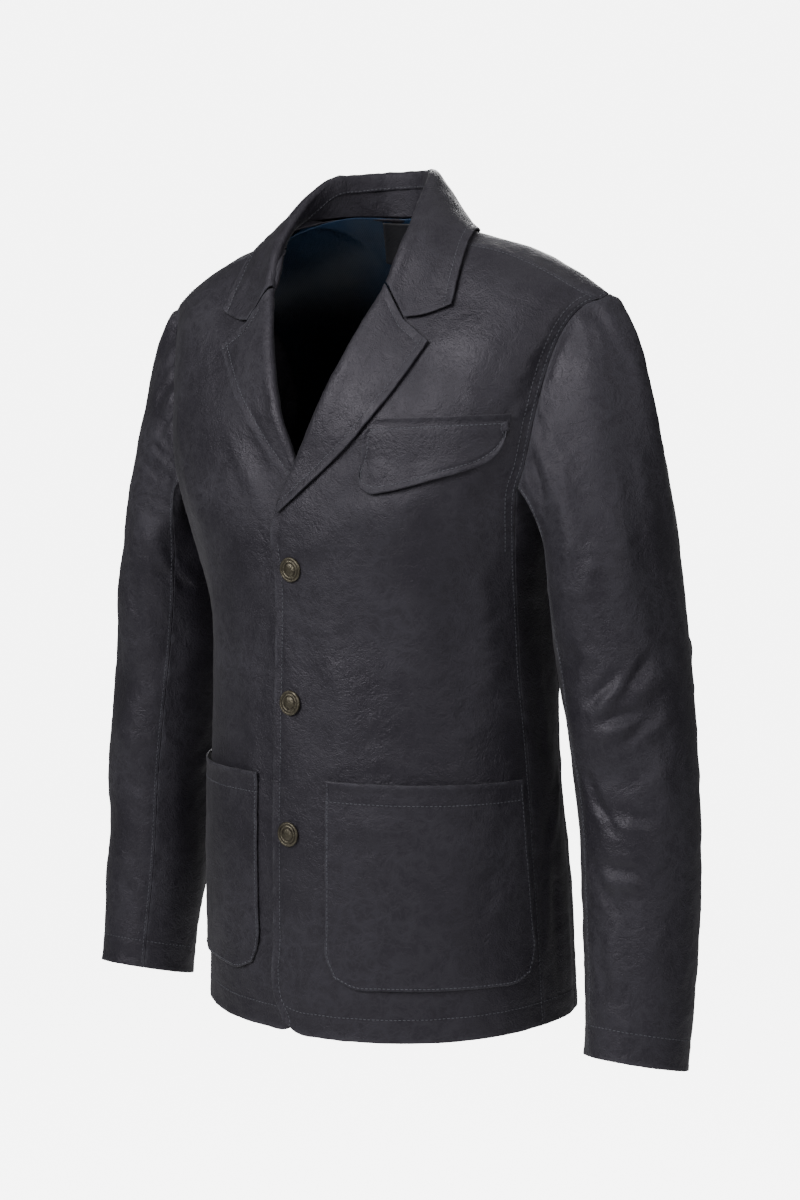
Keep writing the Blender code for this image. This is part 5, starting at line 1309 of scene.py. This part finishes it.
FINISHES = {
    "waxed_cloth_finish": waxed_cloth_material,
    "lining_satin_finish": satin_material,
    "label_tape_finish": tape_material,
    "thread_finish": thread_material,
    "aged_brass_finish": brass_material,
}


def finish_called(context, name):
    """The finish of a name, made when it is first asked for."""
    return bpy.data.materials.get(name) or FINISHES[name](context, name)


# ---------------------------------------------------------------- operators
def dress_all(context, names, slot):
    """Dress the panels whose names match, in the finish of a slot."""
    finish = finish_called(context, slot + "_finish")
    for panel in PANELS:
        if any(matches(name, panel.node) for name in names):
            dress(context, panel, finish)
    return {"FINISHED"}


class BLAZER_OT_body(bpy.types.Operator):
    """Dress the fronts, sides and backs"""
    bl_idname = "blazer.body"
    bl_label = "Body Panels"

    def execute(self, context):
        names = ("front_*", "side_*", "back_left", "back_right")
        return dress_all(context, names, "waxed_cloth")


class BLAZER_OT_lapels(bpy.types.Operator):
    """Dress the lapels and the collar"""
    bl_idname = "blazer.lapels"
    bl_label = "Lapels and Collar"

    def execute(self, context):
        names = ("lapel_*", "collar_*")
        return dress_all(context, names, "waxed_cloth")


class BLAZER_OT_sleeves(bpy.types.Operator):
    """Dress the sleeves"""
    bl_idname = "blazer.sleeves"
    bl_label = "Sleeves"

    def execute(self, context):
        names = ("top_sleeve_*", "under_sleeve_*")
        return dress_all(context, names, "waxed_cloth")


class BLAZER_OT_pockets(bpy.types.Operator):
    """Dress the patch pockets, and the chest pocket's welt and flap"""
    bl_idname = "blazer.pockets"
    bl_label = "Pockets"

    def execute(self, context):
        names = ("patch_pocket_*", "chest_*")
        return dress_all(context, names, "waxed_cloth")


class BLAZER_OT_lining(bpy.types.Operator):
    """Hang the satin inside the back"""
    bl_idname = "blazer.lining"
    bl_label = "Back Lining"

    def execute(self, context):
        return dress_all(context, ("back_lining",), "lining_satin")


class BLAZER_OT_label(bpy.types.Operator):
    """Sew the bare label into the neck"""
    bl_idname = "blazer.label"
    bl_label = "Neck Label"

    def execute(self, context):
        return dress_all(context, ("neck_label",), "label_tape")


class CapStep(NamedTuple):
    """A ring of a snap cap's profile, as shares of its radius and height."""
    radius: float
    height: float
    hollow: float


CAP_STEPS = (
    CapStep(1.00, 0.00, 0.6), CapStep(1.03, 0.30, 0.3), CapStep(1.00, 0.62, 0.1),
    CapStep(0.94, 0.80, 0.0), CapStep(0.87, 0.82, 0.1), CapStep(0.82, 0.66, 0.8),
    CapStep(0.77, 0.60, 1.0), CapStep(0.73, 0.74, 0.3), CapStep(0.68, 0.86, 0.0),
    CapStep(0.62, 0.86, 0.0), CapStep(0.58, 0.72, 0.7), CapStep(0.53, 0.66, 1.0),
    CapStep(0.48, 0.74, 0.6), CapStep(0.40, 0.88, 0.1), CapStep(0.28, 0.97, 0.0),
    CapStep(0.14, 1.00, 0.0),
)
CAP_BUTTON = 0.06               # width of the ring that closes a cap's top, as a share


class BLAZER_OT_snaps(bpy.types.Operator):
    """Model a snap cap over each CAD snap"""
    bl_idname = "blazer.snaps"
    bl_label = "Snaps"

    def execute(self, context):
        sizes = context.scene.blazer_snap
        finish = finish_called(context, "aged_brass_finish")
        for name in ("snap_top", "snap_middle", "snap_bottom"):
            base, way = self.seat(name)
            clear_selection()
            bpy.ops.mesh.primitive_circle_add(
                vertices=sizes.sides, radius=sizes.radius, fill_type="NGON")
            cap = context.active_object
            cap.name = name + "_cap"
            bpy.ops.object.mode_set(mode="EDIT")
            bpy.ops.mesh.select_all(action="SELECT")
            size, level = 1.0, 0.0
            for step in CAP_STEPS:
                bpy.ops.mesh.extrude_region_move()
                share = step.radius / size
                bpy.ops.transform.resize(value=(share, share, 1.0))
                bpy.ops.transform.translate(value=(0, 0, (step.height - level) * sizes.height))
                size, level = step.radius, step.height
            bpy.ops.mesh.inset(thickness=sizes.radius * CAP_BUTTON)
            bpy.ops.object.mode_set(mode="OBJECT")
            cap.rotation_mode = "QUATERNION"
            cap.rotation_quaternion = Vector((0, 0, 1)).rotation_difference(way)
            cap.location = base
            bpy.ops.object.transform_apply(location=True, rotation=True, scale=True)
            cap.data.shade_smooth()
            cap.data.materials.append(finish)
            self.mask_hollows(cap, way, base, sizes)
            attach(cap, "root")
            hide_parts(name)
        return {"FINISHED"}

    def seat(self, name):
        """Where the foot of a CAD snap is, and which way it faces."""
        points = welded(name)[0]
        centre = points.mean(axis=0)
        way = np.linalg.svd(points - centre, full_matrices=False)[2][2]
        if way[1] > 0:
            way = -way
        depths = (points - centre) @ way
        return Vector(centre) + Vector(way * float(depths.min())), Vector(way)

    def mask_hollows(self, cap, way, base, sizes):
        """Mark the hollows of a cap, where tarnish stays."""
        radii = [step.radius for step in CAP_STEPS][::-1]
        hollows = [step.hollow for step in CAP_STEPS][::-1]
        values = []
        for vertex in cap.data.vertices:
            out = vertex.co - base
            out -= way * out.dot(way)
            values.append(float(np.interp(out.length / sizes.radius, radii, hollows)))
        add_mask(cap, "wear", np.array(values))


class StageLight(NamedTuple):
    """A round soft light: its name, its place, its width and its power."""
    name: str
    place: tuple
    size: float
    power: float


LIGHTS = (
    StageLight("key_light", (-0.5, -2.5, 1.2), 2.2, 87.0),
    StageLight("side_light", (2.6, -1.1, 0.6), 1.5, 26.0),
    StageLight("top_light", (0.3, 0.3, 2.0), 1.6, 9.0),
    StageLight("back_light", (-1.2, 2.4, 1.0), 1.6, 60.0),
)
LIGHT_AIM = (0.0, 0.0, -0.3)
CAMERA_PLACE = (1.117, -1.537, -0.148)
CAMERA_TURN, CAMERA_DOWN = 35.15, 5.37          # degrees to its left of +Y, and below level
SENSOR_WIDTH = 36.0
FLOOR_SIDES, FLOOR_RADIUS = 96, 6.0
FLOOR_FADE = (1.6, 3.6)         # the floor fades into the room between these radii
FLOOR_LIGHT = 0.05              # how much light the floor gives


class BLAZER_OT_stage(bpy.types.Operator):
    """Set the pale floor, the soft lights and the camera"""
    bl_idname = "blazer.stage"
    bl_label = "Stage"

    def execute(self, context):
        sizes = context.scene.blazer_stage
        clear_selection()
        bpy.ops.mesh.primitive_circle_add(
            vertices=FLOOR_SIDES, radius=FLOOR_RADIUS, fill_type="NGON",
            location=(0, 0, sizes.floor_z))
        floor = context.active_object
        floor.name = "floor"
        bpy.ops.object.transform_apply(location=True, rotation=True, scale=True)
        material, tree, shader, place = start_material("pale_floor_finish")
        shader.inputs["Base Color"].default_value = (*sizes.pale, 1.0)
        shader.inputs["Emission Color"].default_value = (*sizes.pale, 1.0)
        link(tree, self.seen_glow(tree, FLOOR_LIGHT, sizes.glow),
             shader.inputs["Emission Strength"])
        shader.inputs["Roughness"].default_value = 0.9
        shader.inputs["Specular IOR Level"].default_value = 0.0
        radius = tree.nodes.new("ShaderNodeVectorMath")
        radius.operation = "LENGTH"
        link(tree, place, radius.inputs[0])
        link(tree, spread(tree, radius.outputs["Value"], *FLOOR_FADE, 1.0, 0.0),
             shader.inputs["Alpha"])
        floor.data.materials.append(material)
        self.add_room(sizes)
        self.add_lights()
        self.add_camera(context, sizes)
        return {"FINISHED"}

    def seen_glow(self, tree, given, seen):
        """A glow that gives less light than it shows."""
        paths = tree.nodes.new("ShaderNodeLightPath")
        return spread(tree, paths.outputs["Is Camera Ray"], 0.0, 1.0, given, seen)

    def add_room(self, sizes):
        """A pale room all round, dimmer in its light than to the eye."""
        world = bpy.data.worlds.new("pale_room")
        world.use_nodes = True
        tree = world.node_tree
        background = tree.nodes["Background"]
        background.inputs["Color"].default_value = (*sizes.pale, 1.0)
        link(tree, self.seen_glow(tree, sizes.dim, sizes.glow), background.inputs["Strength"])
        bpy.context.scene.world = world

    def add_lights(self):
        """Large soft lights round the blazer."""
        for name, place, size, power in LIGHTS:
            data = bpy.data.lights.new(name, "AREA")
            data.shape = "DISK"
            data.size = size
            data.energy = power
            light = bpy.data.objects.new(name, data)
            light.location = place
            aim = Vector(LIGHT_AIM) - Vector(place)
            light.rotation_euler = aim.to_track_quat("-Z", "Y").to_euler()
            bpy.context.scene.collection.objects.link(light)

    def add_camera(self, context, sizes):
        """A camera in front of the left shoulder, looking a little down."""
        data = bpy.data.cameras.new("camera")
        data.lens = sizes.lens
        data.sensor_width = SENSOR_WIDTH
        data.sensor_fit = "AUTO"
        camera = bpy.data.objects.new("camera", data)
        camera.location = CAMERA_PLACE
        camera.rotation_euler = (math.radians(90 - CAMERA_DOWN), 0, math.radians(CAMERA_TURN))
        context.scene.collection.objects.link(camera)
        context.scene.camera = camera


class BLAZER_PT_sidebar(bpy.types.Panel):
    """Lists the steps in the sidebar"""
    bl_label = "Blazer"
    bl_idname = "BLAZER_PT_sidebar"
    bl_space_type = "VIEW_3D"
    bl_region_type = "UI"
    bl_category = "Blazer"

    def draw(self, context):
        layout = self.layout
        for operator in OPERATORS:
            layout.operator(operator.bl_idname)
        for attribute, kind in GROUPS:
            for name in kind.__annotations__:
                layout.prop(getattr(context.scene, attribute), name)


GROUPS = (
    ("blazer_cloth", ClothSizes),
    ("blazer_stitch", StitchSizes),
    ("blazer_lining", LiningSizes),
    ("blazer_snap", SnapSizes),
    ("blazer_stage", StageSizes),
)
OPERATORS = (
    BLAZER_OT_body,
    BLAZER_OT_lapels,
    BLAZER_OT_sleeves,
    BLAZER_OT_pockets,
    BLAZER_OT_lining,
    BLAZER_OT_label,
    BLAZER_OT_snaps,
    BLAZER_OT_stage,
)


def register():
    """Register the classes and give the scene its sizes."""
    for name, group in GROUPS:
        bpy.utils.register_class(group)
        setattr(bpy.types.Scene, name, PointerProperty(type=group))
    for operator in OPERATORS:
        bpy.utils.register_class(operator)
    bpy.utils.register_class(BLAZER_PT_sidebar)


def unregister():
    """Undo what register did."""
    bpy.utils.unregister_class(BLAZER_PT_sidebar)
    for operator in reversed(OPERATORS):
        bpy.utils.unregister_class(operator)
    for name, group in reversed(GROUPS):
        delattr(bpy.types.Scene, name)
        bpy.utils.unregister_class(group)


def main():
    """Dress the whole blazer."""
    register()
    bpy.ops.blazer.body()
    bpy.ops.blazer.lapels()
    bpy.ops.blazer.sleeves()
    bpy.ops.blazer.pockets()
    bpy.ops.blazer.lining()
    bpy.ops.blazer.label()
    bpy.ops.blazer.snaps()
    bpy.ops.blazer.stage()


if __name__ == "__main__":
    main()
